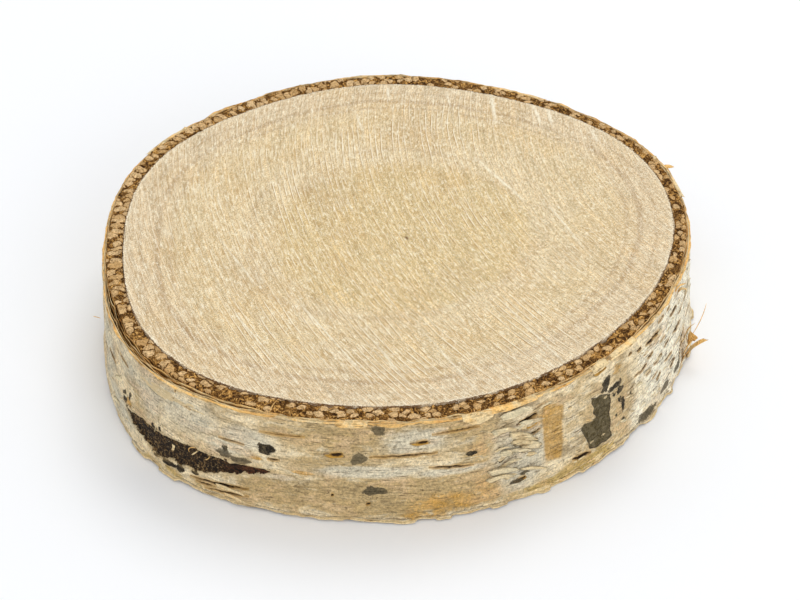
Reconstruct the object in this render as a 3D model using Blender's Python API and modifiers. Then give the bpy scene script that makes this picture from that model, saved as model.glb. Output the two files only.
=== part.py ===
"""Birch wood slice: a sawn disc of wood inside its brown inner bark and its pale, papery outer bark.

The slice lies flat on its lower sawn face. The origin is the middle of that face, +Z is up, and
the side that carries the long dark scar faces -Y. All sizes are in metres.
"""

import math

import bpy
from mathutils import Vector, noise

MM = 0.001

# The slice as a whole. The radius is at the upper face. The flare is what the foot adds to it all
# round, and the lean adds more on one side. Angles are in degrees, anticlockwise from +X.
MEAN_RADIUS = 55.0 * MM
THICKNESS = 22.0 * MM
FLARE = 1.9 * MM
LEAN = 0.7 * MM
LEAN_TOWARDS = 340
GAP = 0.3 * MM

# The outline is a circle with a few lobes: how many round the slice, how far they stand out, and
# the angle of the first crest.
OUTLINE_LOBES = (
    (2, 1.9 * MM, 39),
    (3, 0.9 * MM, 7),
    (4, 0.3 * MM, 37),
    (5, 0.5 * MM, 14),
    (6, 0.3 * MM, 39),
)

# The two layers of bark together vary in the same way, and are thickest at the back.
BARK_DEPTH = 3.5 * MM
BARK_LOBES = (
    (1, 0.4 * MM, 166),
    (2, 0.4 * MM, 82),
    (3, 0.2 * MM, 97),
)
PAPER_DEPTH = 1.1 * MM
PAPER_LEAST = 0.4 * MM

# Heights of the cut edges: the wood stands proud, and the bark has shrunk back from both saw cuts.
GRAIN_TOP = THICKNESS - 0.5 * MM
GRAIN_FOOT = 0.5 * MM
GRAIN_LUMP = 1.7 * MM
GRAIN_HEIGHT = 0.45 * MM
PAPER_TOP = THICKNESS - 0.7 * MM
PAPER_FOOT = 0.6 * MM
PAPER_WAVE = 0.3 * MM
PAPER_WAVE_LENGTHS = (5.0 * MM, 2.0 * MM)

# How finely each piece is divided. A torus takes at most 256 sides.
WOOD_SIDES = 144
GRAIN_SIDES = 256
PAPER_SIDES = 256
PAPER_ROWS = 14

# Relief on the outside of the bark: broad swells, and fibres that run round the trunk.
SWELL_HEIGHT = 0.45 * MM
SWELL_LENGTH = 14.0 * MM
FIBRE_HEIGHT = 0.3 * MM
FIBRE_LENGTH = 8.0 * MM
FIBRE_STRETCH = 5

# The scar: a long spindle where the papery layer is gone. Arcs run along the outline from the
# middle of the front, positive to the right, and heights run up from the lower face.
SCAR_ARC = -35.0 * MM
SCAR_HEIGHT = 8.2 * MM
SCAR_HALF_LENGTH = 15.5 * MM
SCAR_HALF_WIDTH = 3.0 * MM
SCAR_DEPTH = 0.5 * MM

# Places that stand out from the bark: arc, height, half length, half width, how far out.
FLAKES = (
    (75.0 * MM, 3.0 * MM, 2.6 * MM, 2.6 * MM, 2.1 * MM),
    (-69.0 * MM, 13.0 * MM, 3.0 * MM, 1.7 * MM, 1.0 * MM),
    (-66.0 * MM, 8.2 * MM, 2.2 * MM, 1.2 * MM, 1.1 * MM),
    (34.5 * MM, 1.6 * MM, 12.0 * MM, 1.4 * MM, 0.6 * MM),
    (19.5 * MM, 20.8 * MM, 4.2 * MM, 1.2 * MM, 0.8 * MM),
    (-38.0 * MM, 11.5 * MM, 4.0 * MM, 2.2 * MM, 0.7 * MM),
    (110.0 * MM, 20.0 * MM, 6.0 * MM, 1.5 * MM, 0.7 * MM),
    (-128.0 * MM, 2.5 * MM, 8.0 * MM, 1.6 * MM, 0.6 * MM),
)

# Knots and slits sunk into the bark, in the same terms.
HOLLOWS = (
    (-9.1 * MM, 15.2 * MM, 2.6 * MM, 1.1 * MM, 0.4 * MM),
    (5.3 * MM, 17.8 * MM, 2.6 * MM, 1.1 * MM, 0.4 * MM),
    (14.5 * MM, 14.0 * MM, 1.8 * MM, 1.2 * MM, 0.4 * MM),
    (26.0 * MM, 16.3 * MM, 2.4 * MM, 1.6 * MM, 0.4 * MM),
    (42.5 * MM, 19.4 * MM, 2.4 * MM, 1.1 * MM, 0.4 * MM),
    (150.0 * MM, 12.0 * MM, 5.0 * MM, 2.4 * MM, 0.5 * MM),
)


def clear_scene():
    for obj in list(bpy.data.objects):
        bpy.data.objects.remove(obj, do_unlink=True)


def material(name, colour, roughness):
    """A plain finish. The colour is given as linear red, green and blue."""
    made = bpy.data.materials.new(name)
    made.use_nodes = True
    shader = made.node_tree.nodes["Principled BSDF"]
    shader.inputs["Base Color"].default_value = (*colour, 1.0)
    shader.inputs["Roughness"].default_value = roughness
    shader.inputs["Metallic"].default_value = 0.0
    return made


def waves(lobes, angle):
    """The sum of the lobes at an angle in radians."""
    return sum(rise * math.cos(count * (angle - math.radians(crest))) for count, rise, crest in lobes)


def outline(angle, height):
    """Radius of the slice over its bark. The trunk widens downwards, more on one side."""
    widening = FLARE + LEAN * math.cos(angle - math.radians(LEAN_TOWARDS))
    return MEAN_RADIUS + waves(OUTLINE_LOBES, angle) + widening * (1 - height / THICKNESS)


def wood_edge(angle, height):
    """Radius of the wood, inside both layers of bark."""
    return outline(angle, height) - BARK_DEPTH - waves(BARK_LOBES, angle)


def arc_of(angle):
    """Distance along the outline from the middle of the front, positive to the right."""
    turn = (angle + math.pi / 2) % (2 * math.pi)
    return (turn if turn <= math.pi else turn - 2 * math.pi) * MEAN_RADIUS


def ripple(angle, height, coarseness):
    """Smooth noise from -1 to 1 that meets itself once round the slice."""
    place = Vector((math.cos(angle), math.sin(angle), 0)) * (MEAN_RADIUS / coarseness)
    return noise.noise(place + Vector((0, 0, height / coarseness)))


def bump(arc, height, spot):
    """A round-topped bump, 1 at the middle of a placed spot and 0 past its edge."""
    spot_arc, spot_height, half_length, half_width, _ = spot
    across = (arc - spot_arc) / half_length
    up = (height - spot_height) / half_width
    return max(0.0, 1 - across * across - up * up) ** 1.5


def scar(arc, height):
    """How deep the scar is here, from 0 to 1: a spindle with pointed ends and a flat upper side."""
    along = abs(arc - SCAR_ARC) / SCAR_HALF_LENGTH
    if along >= 1:
        return 0.0
    half_width = SCAR_HALF_WIDTH * (1 - along ** 1.6)
    middle = SCAR_HEIGHT + 0.5 * (SCAR_HALF_WIDTH - half_width)
    return max(0.0, 1 - ((height - middle) / max(half_width, GAP)) ** 4)


def bark_face(angle, height):
    """Radius of the bark's outer face, with its swells, fibres, scar, flakes and slits."""
    arc = arc_of(angle)
    smooth = outline(angle, height)
    radius = smooth + SWELL_HEIGHT * ripple(angle, height, SWELL_LENGTH)
    radius += FIBRE_HEIGHT * ripple(angle, FIBRE_STRETCH * height, FIBRE_LENGTH)
    radius -= SCAR_DEPTH * scar(arc, height)
    for spot in FLAKES:
        radius += spot[4] * bump(arc, height, spot)
    for spot in HOLLOWS:
        radius -= spot[4] * bump(arc, height, spot)
    return max(radius, smooth - PAPER_DEPTH + PAPER_LEAST)


def paper_edge(angle, level):
    """Height of the papery layer's torn edge: a wavy line round the slice, near a level."""
    long_wave, short_wave = (ripple(angle, level, length) for length in PAPER_WAVE_LENGTHS)
    return level + PAPER_WAVE * (long_wave + short_wave / 2)


def grain(angle, radius, level):
    """How far the inner bark's cut face rises: down between its lumps, up on their flat tops."""
    place = Vector((radius * math.cos(angle), radius * math.sin(angle), level)) / GRAIN_LUMP
    nearest, second = noise.voronoi(place)[0][:2]
    return GRAIN_HEIGHT * (min(1.0, 2.2 * (second - nearest)) - 0.6)


def ring(name, sides, section_size, place, finish):
    """A closed ring: a torus whose every point is moved to place(angle, step in the section).

    The steps of a section run up the outer face, inwards over the top, down the inner face and
    out along the foot.
    """
    bpy.ops.mesh.primitive_torus_add(
        major_segments=sides,
        minor_segments=section_size,
        major_radius=MEAN_RADIUS,
        minor_radius=2 * MM,
    )
    made = bpy.context.object
    made.name = name
    for index, vertex in enumerate(made.data.vertices):
        angle = 2 * math.pi * (index // section_size) / sides
        radius, height = place(angle, index % section_size)
        vertex.co = (radius * math.cos(angle), radius * math.sin(angle), height)
    made.data.shade_smooth()
    made.data.materials.append(finish)
    return made


def make_wood():
    """The sawn disc: a cylinder whose rim follows the wood's own outline."""
    bpy.ops.mesh.primitive_cylinder_add(
        vertices=WOOD_SIDES,
        radius=MEAN_RADIUS,
        depth=THICKNESS,
        location=(0, 0, THICKNESS / 2),
    )
    made = bpy.context.object
    made.name = "wood"
    for vertex in made.data.vertices:
        angle = math.atan2(vertex.co.y, vertex.co.x)
        radius = wood_edge(angle, vertex.co.z + THICKNESS / 2)
        vertex.co.x = radius * math.cos(angle)
        vertex.co.y = radius * math.sin(angle)
    edge = made.modifiers.new("saw_edge", "BEVEL")
    edge.width = 0.2 * MM
    edge.segments = 1
    edge.limit_method = "ANGLE"
    made.data.materials.append(material("birch_wood", (0.73, 0.60, 0.36), 0.7))
    return made


def make_inner_bark():
    """The brown ring of hard lumps in softer tissue, rough where the saw tore it.

    Its section has five points across the top, from the outer edge inwards, and three along the
    foot, from the inner edge outwards.
    """
    top_steps = 5
    depths = [0.0, 0.25, 0.5, 0.75, 1.0, 1.0, 0.5, 0.0]

    def place(angle, step):
        level = GRAIN_TOP if step < top_steps else GRAIN_FOOT
        outer = outline(angle, level) - PAPER_DEPTH - GAP
        inner = wood_edge(angle, level) + GAP
        radius = outer + (inner - outer) * depths[step]
        rise = grain(angle, radius, level)
        return radius, level + (rise if step < top_steps else -rise)

    finish = material("inner_bark", (0.30, 0.16, 0.06), 0.9)
    return ring("inner_bark", GRAIN_SIDES, len(depths), place, finish)


def make_outer_bark():
    """The pale papery layer, with a torn edge above and below and relief over its outer face."""
    inner_steps = 3

    def place(angle, step):
        top = paper_edge(angle, PAPER_TOP)
        foot = paper_edge(angle, PAPER_FOOT)
        if step < PAPER_ROWS:
            height = foot + (top - foot) * step / (PAPER_ROWS - 1)
            return bark_face(angle, height), height
        height = top + (foot - top) * (step - PAPER_ROWS) / (inner_steps - 1)
        return outline(angle, height) - PAPER_DEPTH, height

    finish = material("outer_bark", (0.58, 0.48, 0.31), 0.75)
    return ring("outer_bark", PAPER_SIDES, PAPER_ROWS + inner_steps, place, finish)


def gather(name, members):
    """Puts the pieces in one collection named for the object."""
    home = bpy.data.collections.new(name)
    bpy.context.scene.collection.children.link(home)
    for member in members:
        for old in list(member.users_collection):
            old.objects.unlink(member)
        home.objects.link(member)


clear_scene()
gather("birch_wood_slice", [make_wood(), make_inner_bark(), make_outer_bark()])
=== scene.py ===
"""The looks of a birch wood slice: sawn wood, torn inner bark and peeling, papery outer bark."""

import math

import bpy
import bmesh
import numpy as np
from bpy.props import FloatProperty, FloatVectorProperty, IntProperty, PointerProperty
from mathutils import Matrix, Vector


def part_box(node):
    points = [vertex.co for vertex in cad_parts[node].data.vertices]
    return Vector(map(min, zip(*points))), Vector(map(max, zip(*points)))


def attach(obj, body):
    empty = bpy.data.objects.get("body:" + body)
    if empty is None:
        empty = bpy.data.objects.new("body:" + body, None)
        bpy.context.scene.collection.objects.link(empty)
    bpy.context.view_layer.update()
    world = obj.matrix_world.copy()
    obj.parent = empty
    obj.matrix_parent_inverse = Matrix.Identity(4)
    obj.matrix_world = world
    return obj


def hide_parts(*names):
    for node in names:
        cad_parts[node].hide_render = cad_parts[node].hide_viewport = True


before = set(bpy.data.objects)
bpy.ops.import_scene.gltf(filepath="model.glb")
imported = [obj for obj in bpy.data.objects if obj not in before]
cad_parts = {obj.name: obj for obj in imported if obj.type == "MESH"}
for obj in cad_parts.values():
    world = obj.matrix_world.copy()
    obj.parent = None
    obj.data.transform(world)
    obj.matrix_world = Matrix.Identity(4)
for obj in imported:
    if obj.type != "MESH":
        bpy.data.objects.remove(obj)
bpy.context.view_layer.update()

bl_info = {
    "name": "Birch Wood Slice",
    "version": (1, 0, 0),
    "blender": (4, 5, 0),
    "location": "View3D > Sidebar > Birch Slice",
    "description": "Builds a sawn birch slice with its rough inner bark and peeling outer bark",
    "category": "Add Mesh",
}

MM = 0.001
MM_PER_M = 1000
WOOD_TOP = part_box("wood")[1].z * MM_PER_M
BODY = "root"

# The slice's outline at its upper edge, as in the solids: millimetres, and degrees anticlockwise
# from +X. Each lobe is how many stand round the slice, how far they stand out, and the first crest.
MEAN_RADIUS = 55.0
OUTLINE_LOBES = ((2, 1.9, 39), (3, 0.9, 7), (4, 0.3, 37), (5, 0.5, 14), (6, 0.3, 39))
BARK_DEPTH = 3.5
BARK_LOBES = ((1, 0.4, 166), (2, 0.4, 82), (3, 0.2, 97))
FLARE = 1.9
LEAN = 0.7
LEAN_TOWARDS = 340
PAPER_DEPTH = 1.1
BARK_TOP = WOOD_TOP - 0.7
BARK_FOOT = 0.6
GRAIN_TOP = WOOD_TOP - 0.45
GRAIN_FOOT = 0.5
FULL_TURN = 2 * math.pi
GIRTH = FULL_TURN * MEAN_RADIUS

# What a mark's depth is far outside it, and how close points have to be to be made one.
OUTSIDE = -2.0
WELD_REACH = 0.002

# How far the torn edges of the bark rise and fall, and the numbers that seed their noise.
RIM_TEAR, RIM_SEED = 0.3, 51
FOOT_TEAR, FOOT_SEED = 0.42, 61

# Thicknesses of the fine pieces, the gaps and the bevel beside the wood and the lowest that a lap
# hangs. Then how far the skin's back lies behind its relief and behind its swells, how far the middle
# of its rim stands above both, and the heights of the back's rows as shares of the face's.
SHEET_THICK = 0.08
PEEL_THICK = 0.11
FIBRE_THICK = 0.08
WOOD_GAP = 0.03
SIDE_GAP = 0.02
WOOD_BEVEL = 0.14
LOWEST_LAP = 0.12
SKIN_THICK = 0.12
SKIN_DEEP = 0.32
SKIN_CROWN = 0.06
BACK_SHARES = (1.0, 0.95, 0.62, 0.54, 0.46, 0.38, 0.3, 0.22, 0.16, 0.11, 0.06, 0.0)

# The bark's relief: how far its swells, the one under the curl, the steps of its papers and the
# bulges of its left side stand out, and how far each kind of mark stands out or is sunk.
SWELL_RISE = 0.35
CURL_PLACE, CURL_SWELL = (75.5, 1.5), 0.7
PAPER_STEP = 0.06
BULGE_RISE, BULGE_HIGH = 0.75, 5.4
LIP_RISE = 0.24
SLIT_RISE, SLIT_DEEP = 0.09, 0.45
SPOT_RISE = 0.10
WINDOW_DEEP = 0.08
PATCH_DEEP = 0.26
SCAR_DEEP, SCAR_BACK = 0.55, 0.72

# How far behind the outline the papers end at the rim: where they are shut, how much more where they
# are open, and the least behind the skin's swells. Then the height of the upper and the lower ones.
PAPERS_SHUT, PAPERS_OPEN = 0.5, 0.9
LEAST_PAPERS = 0.45
UPPER_SHEET, LOWER_SHEET = 2.2, 1.4

# The sheets of paper: their share of that depth, how far each stands above the rim, how orange it is.
PAPER_SHEETS = ((0.16, 0.24, 0.45), (0.40, -0.20, 1.1), (0.62, 0.22, 0.35), (0.88, -0.06, 0.9))

# The inner bark: how many lumps and ridges of tissue lie round it, how far below the wood's face the
# highest lumps and the tissue's middle lie, and the most that anything there stands above it.
LUMPS_ROUND, RIDGES_ROUND = 190, 260
LUMP_DEEP, TISSUE_DEEP = 0.06, 0.42
HIGHEST_CRUMB = 0.12

# The saw left marks along circles about this point, a millimetre or so apart.
SAW_CENTRE = (110.0, 38.0)
SAW_AHEAD = math.radians(19)
SAW_REACH = 116.0
SAW_PITCH = 1.15
SAW_WRAP = 4096

# The middle of the growth rings in plan, how far burrs and frayed fibres rise, and their limit.
PITH = (2.8, -3.2)
BURR_RISE = 0.16
FRAY_RISE = 0.10
HIGHEST_BURR = 0.2

# How shiny all of the slice is, and the points along a loop over the wood and under it.
SHINE = 0.18
LOOP_POINTS = 84
UNDER_POINTS = 44

# Points round the papers, points along and across a strip, a peel and a flake, and what seeds their
# noise.
LAYER_COLUMNS = 900
LAP_COLUMNS = 1100
STRIP_POINTS = (60, 18)
PEEL_POINTS = (20, 10)
FLAKE_POINTS = (7, 5)
STRIP_SEED = 161
FLAKE_SEED = 301

# The floor's half width in metres and its roughness, the light from all round, and two lamps: each
# one's place and width in metres and its power in watts.
FLOOR_SIDE = 3.0
FLOOR_ROUGHNESS = 0.9
SKY_STRENGTH = 0.81
LAMPS = (("key", (0.24, 0.60, 1.05), 0.6, 3.25), ("front", (0.6, -1.1, 0.5), 0.8, 4.4))

# The camera: what it aims at and how far off it stands, in millimetres, its tilt and roll in
# degrees, and its lens and sensor.
CAMERA_AIM = (1.6, 6.8, -0.8)
CAMERA_DISTANCE = 397.2
CAMERA_TILT = 38.5
CAMERA_ROLL = 0.667
CAMERA_LENS = 90
CAMERA_SENSOR = 36

# Pale burrs that the saw raised in the wood: from and to, in plan, and half width.
BURRS = (
    ((-1.5, 49.3), (-1.2, 45.2), 0.2),
    ((10.8, 47.4), (11.4, 42.6), 0.18),
    ((20, 47.2), (20.6, 36.2), 0.3),
    ((28.6, 42.6), (29.8, 36.6), 0.26),
    ((31.3, 41.4), (32.2, 35.6), 0.28),
    ((39.6, 35), (41, 29.6), 0.22),
    ((16, 24), (25.5, 9), 0.24),
    ((-8, 40), (-6.4, 33), 0.16),
    ((-33, -3), (-25, -17), 0.12),
    ((-28, -26), (-20, -39), 0.13),
    ((-17, -22), (-3, -45), 0.13),
    ((-5, -30), (4, -46), 0.11),
    ((6, -31), (15, -46.5), 0.12),
    ((20, -22), (31, -40), 0.12),
    ((30, 8), (36, -6), 0.16),
)

# Slits in the bark that the tree breathed through: arc from the middle of the front, height, half
# length, half width, and slope. The last is for those that climb or fall.
SLITS = (
    (2.5, 14.6, 6, 0.16, 0.02), (10.9, 11.2, 4.2, 0.2, -0.1), (-36.7, 17.7, 2.4, 0.1, -0.12),
    (-26.7, 14.2, 2.4, 0.1, -0.03), (-37.8, 19.9, 0.3, 0.2, 0), (11.6, 18.6, 4.5, 0.1, 0.02),
    (-18, 17.8, 4, 0.1, 0.03), (-19.4, 12.1, 1.1, 0.22, 0), (25.2, 17.4, 2.2, 0.42, 0.16),
    (23, 19.4, 2.6, 0.2, 0.1), (26.6, 13.6, 1.6, 0.22, 0.14), (37.2, 3.6, 2.6, 0.42, -0.12),
    (54, 17.7, 1, 0.3, 0), (58.6, 17.1, 2.7, 0.42, -0.02), (56.2, 15.4, 0.7, 0.3, 0),
    (55.2, 12.6, 1.5, 0.26, 0.2), (58, 13.9, 1.2, 0.26, 0.1), (61, 11, 2, 0.28, 0.1),
    (64.8, 12, 1.6, 0.3, 0), (62.6, 18.9, 1.5, 0.26, 0), (59.4, 8.4, 1.2, 0.26, 0.1),
    (51, 18.4, 0.8, 0.2, 0), (47.5, 20.4, 1.2, 0.26, 0), (70.6, 11.7, 2.9, 0.45, -0.06),
    (65.2, 8.5, 2.3, 0.3, -0.15), (61.1, 7.1, 1.2, 0.34, 0.2), (68.2, 17, 2.2, 0.28, 0),
    (76.2, 15, 2.4, 0.4, 0), (72.4, 14.6, 1.6, 0.3, 0.1), (67.4, 5.6, 1.8, 0.32, 0.1),
    (74.4, 7, 2.4, 0.42, 0.1), (72, 4.8, 1.3, 0.7, 0.9), (79.6, 8.6, 2.1, 0.28, 0),
    (82.2, 12.4, 1.8, 0.3, 0), (53, 12.6, 1, 0.12, 0), (57, 10.4, 1.2, 0.12, 0),
    (63, 14.2, 1.4, 0.14, 0), (66, 19, 1.2, 0.14, 0), (-52.8, 16.6, 2.2, 0.2, -0.1),
    (-58.6, 13.2, 2.6, 0.22, 0.06), (-62.4, 17.8, 1.9, 0.18, 0), (-66.8, 9.8, 2.2, 0.2, 0),
    (-29, 3.7, 5.6, 0.22, 0.14), (-27.6, 2.3, 4.2, 0.16, 0.12), (-31.4, 2.6, 2, 0.2, 0.1),
    (-3.4, 4.3, 0.5, 0.25, 0.2), (-9.5, 5.9, 0.4, 0.2, 0),
)

# Slits that gape: arc, height, half length, half width. Each has a dark mouth over an orange lip.
MOUTHS = (
    (-9.1, 14.7, 2, 0.62), (5.3, 17.1, 1.8, 0.55), (25.8, 15.9, 1.5, 0.8), (25.4, 12, 2.1, 0.45),
    (23.5, 4.9, 1.6, 0.5), (42, 19.7, 1.9, 0.75), (100, 14, 2.4, 0.6), (128, 8.5, 2.6, 0.6),
    (-104, 12.5, 2.2, 0.6), (-137, 15.5, 2.8, 0.6),
)

# Blackened spots: arc, height, half length, half height, and how dark, from 0 to 1.
SPOTS = (
    (-20.6, 14.1, 1.35, 1.3, 1), (-27.8, 12.2, 0.5, 0.95, 0.85), (14.5, 13.4, 0.95, 0.62, 1),
    (-5.1, 14, 1.35, 1.3, 0.42), (-1.8, 20, 1.35, 0.85, 0.42), (-2.4, 7.1, 1.9, 1.05, 0.62),
    (44, 16, 1.1, 1.6, 0.9), (43, 14.9, 0.9, 0.6, 0.9), (46.4, 13.9, 2.1, 0.6, 0.95),
    (47.8, 12.4, 1.4, 0.7, 0.95), (46, 12.2, 0.6, 0.5, 0.95), (48.7, 8.8, 0.6, 1.8, 1),
    (47.6, 10.4, 0.5, 0.6, 0.95), (51, 9.6, 0.34, 1, 0.8), (48.6, 5.4, 0.6, 0.5, 0.9),
    (46.6, 7.4, 0.4, 0.5, 0.8), (22.8, 4.8, 1.6, 0.45, 0.75), (24.6, 5.9, 1, 0.35, 0.75),
    (-28, 11, 1.5, 0.75, 0.35), (-25.2, 10.4, 2.2, 0.75, 0.28), (-52, 9, 0.9, 1.5, 0.9),
    (-50.2, 10.4, 0.4, 0.9, 0.9), (-42.8, 8.9, 0.9, 0.8, 1), (-41.2, 9.6, 0.3, 0.8, 1),
    (-39.4, 2.9, 1.6, 0.7, 1), (-36.6, 3.4, 1, 0.8, 1), (-33.6, 4.1, 1, 0.4, 1),
    (-42.4, 2.7, 0.7, 0.4, 1), (56, 1.8, 3.6, 0.9, 0.65), (63.4, 2.9, 1.9, 1, 0.5),
    (69.8, 2.9, 1.6, 0.8, 0.6), (115, 12, 3.2, 2.6, 0.85), (152, 6.5, 2, 1.5, 0.9),
    (-160, 11, 4.5, 2.2, 0.8), (-118, 6.5, 1.6, 1.4, 0.7), (-92, 16, 1.4, 1.1, 0.6),
)

# Shapes with corners, each as arc and height: the large bare patch at the right of the front, the
# straight-sided window where orange layers show, the old scar, and the window's like at the back.
PATCH = (
    (39.9, 14.8), (41.2, 14.1), (42.1, 14.3), (44.8, 13), (45, 11), (44.6, 8.9), (44.9, 7.3),
    (44.6, 5.6), (45.1, 3.8), (43.9, 3.5), (42.3, 3.7), (41.2, 3.4), (39.3, 4.1), (39.1, 5.4),
    (38.5, 6.8), (37.8, 8.2), (37.4, 9.4), (37.9, 10.1), (38.9, 9.8), (40.9, 9.9), (41.1, 10.4),
    (40.3, 11.4), (40.6, 12.3), (40, 13.7),
)
WINDOW = (
    (28.6, 18.9), (30.6, 18.2), (33.1, 17), (32.8, 12.6), (33.1, 8.8), (32.6, 5.4), (31, 5.8),
    (29.2, 6.4), (28.8, 9.2), (28.6, 13.4), (28.2, 15.8),
)
SCAR = (
    (-52.6, 7.3), (-49.2, 7.5), (-45.8, 8.5), (-43.4, 8.3), (-40.9, 8.3), (-38.2, 9), (-35.6, 9.2),
    (-33.4, 9.5), (-32, 9.1), (-29.7, 9.3), (-27.3, 9.5), (-25.2, 9.4), (-22.6, 9.4), (-19.6, 9.3),
    (-20.4, 8.9), (-22.6, 8.1), (-25.5, 7.1), (-28.5, 6.5), (-31.6, 5), (-33.6, 4.4), (-35, 4.6),
    (-36.4, 4.3), (-38.2, 4.3), (-41, 2.9), (-43.3, 3.1), (-44.9, 4), (-47.5, 4.8), (-50.1, 5.6),
    (-51.6, 6.1),
)
BACK_WINDOW = (
    (121, 19), (124.5, 18.4), (124, 11), (125.2, 7.2), (121.6, 6.6), (120.6, 12),
)

# Peels that stand off the bark: arc, height of the root, width, length, how far it curls out, the
# way it points (degrees, 0 to the right, 90 up), its colour, from -1 for grey-white over 0 for cream
# to 1 for orange, and how pointed it is, from 0 to 1.
PEELS = (
    (74.8, 1.4, 2.5, 6, 66, 90, 0.45, 0.5),
    (76.2, 4.4, 1, 4.8, 40, 96, 0.35, 1),
    (73.2, 2.4, 1.6, 4.2, 30, 84, 0.8, 0.7),
    (72.2, 1.2, 1.8, 3.4, 36, 70, 1, 0.7),
    (73.6, 5, 1.2, 2.2, 30, 95, 0.1, 0.9),
    (78, 2.4, 3, 2.6, 70, 130, 0.8, 0.4),
    (70, 19.8, 1.6, 2.6, 70, 35, 0.8, 0.5),
    (72, 18.4, 1.2, 2, 100, 100, 0.5, 0.5),
    (-83, 4.4, 1.6, 1.8, 46, 100, 0.9, 0.4),
    (-82, 4, 1.4, 1.4, 30, 120, 1.1, 0.5),
    (-33.6, 8.6, 0.34, 2.2, 170, 40, 0.2, 0.3),
    (-31.4, 8.6, 0.26, 1.6, 150, 10, 0.5, 0.3),
    (-38.6, 7.2, 0.7, 1.3, 40, 262, 0.1, 0.1),
    (-42.6, 10.8, 0.3, 2.4, 40, 290, -0.3, 0.8),
    (20, 18.5, 2.6, 6.2, 26, 22, -0.6, 0.5),
    (22.4, 15.6, 2.6, 5.6, 22, 30, -0.7, 0.6),
    (25, 14.6, 0.8, 3.6, 70, 66, -0.3, 0.9),
    (38.4, 10.4, 0.9, 1.4, 26, 4, 0.2, 0.4),
    (-29.5, 3.3, 1, 6.8, 9, 8, 0.1, 0.5),
    (-28, 1.8, 0.9, 5.2, 10, 8, 0.3, 0.5),
    (110, 18, 3, 3.6, 120, 80, 0.8, 0.4),
    (-112, 3.6, 3.2, 3.2, 140, 250, 0.7, 0.3),
    (146, 9, 2.6, 3, 110, 30, 0.6, 0.5),
    (-150, 17.4, 2.4, 2.6, 100, 120, 0.6, 0.5),
)

# Groups of small flakes: arcs from and to, heights from and to, how many, width, length, curl,
# heading and its spread, and colour, from -1 for grey-white over 0 for cream to 1 for orange.
FLAKE_GROUPS = (
    (17, 25, 3.5, 18.5, 17, 1.5, 3.8, 38, 24, 24, -0.4),
    (-46, -32, 4, 9, 3, 0.26, 0.7, 60, 60, 90, -0.3),
    (46, 86, 2, 19, 44, 0.8, 1.9, 16, 8, 18, -0.5),
    (-60, -49, 3, 18, 10, 1.3, 1.5, 16, 160, 40, -0.6),
    (34, 36.4, 2, 19, 5, 0.8, 1.3, 24, 12, 30, -0.2),
    (92, 165, 2, 19, 60, 1.3, 2.2, 22, 14, 30, -0.5),
    (-168, -88, 2, 19, 60, 1.3, 2.2, 22, 170, 30, -0.5),
)

# Long strips of paper that hang over the rim: from and to along the arc, and how far they hang.
RIM_STRIPS = (
    (12.6, 18.4, 1.9), (18, 27, 0.6), (39.4, 43.6, 1.3), (44, 52, 0.5), (-9, -3.6, 0.7), (98, 112, 1.2),
    (-124, -112, 1.4), (140, 160, 0.8),
)

# Loose fibres: points along each one as angle in degrees, radius past the outline and height.
FIBRES = (
    ((249.2, -3.9, 21.9), (249, -2.6, 22.5), (248.7, -1.2, 22.1), (248.9, -0.4, 21.5)),
    ((349, 1, 5), (350, 2.4, 7.2), (352, 3.2, 8.6), (354.5, 3.4, 9.3)),
    ((263.9, -1.2, 21.5), (264.6, -0.5, 22.3), (265.9, 0.3, 21.8), (266.4, 0.5, 20.9)),
    ((235.4, 0, 9.6), (234.6, 0.9, 10.4), (233.9, 0.7, 9.4), (234, 0.2, 8.2)),
    ((197.4, 0.8, 12.9), (196.9, 1.8, 13.1), (196.2, 2.1, 12.7)),
)

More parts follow.
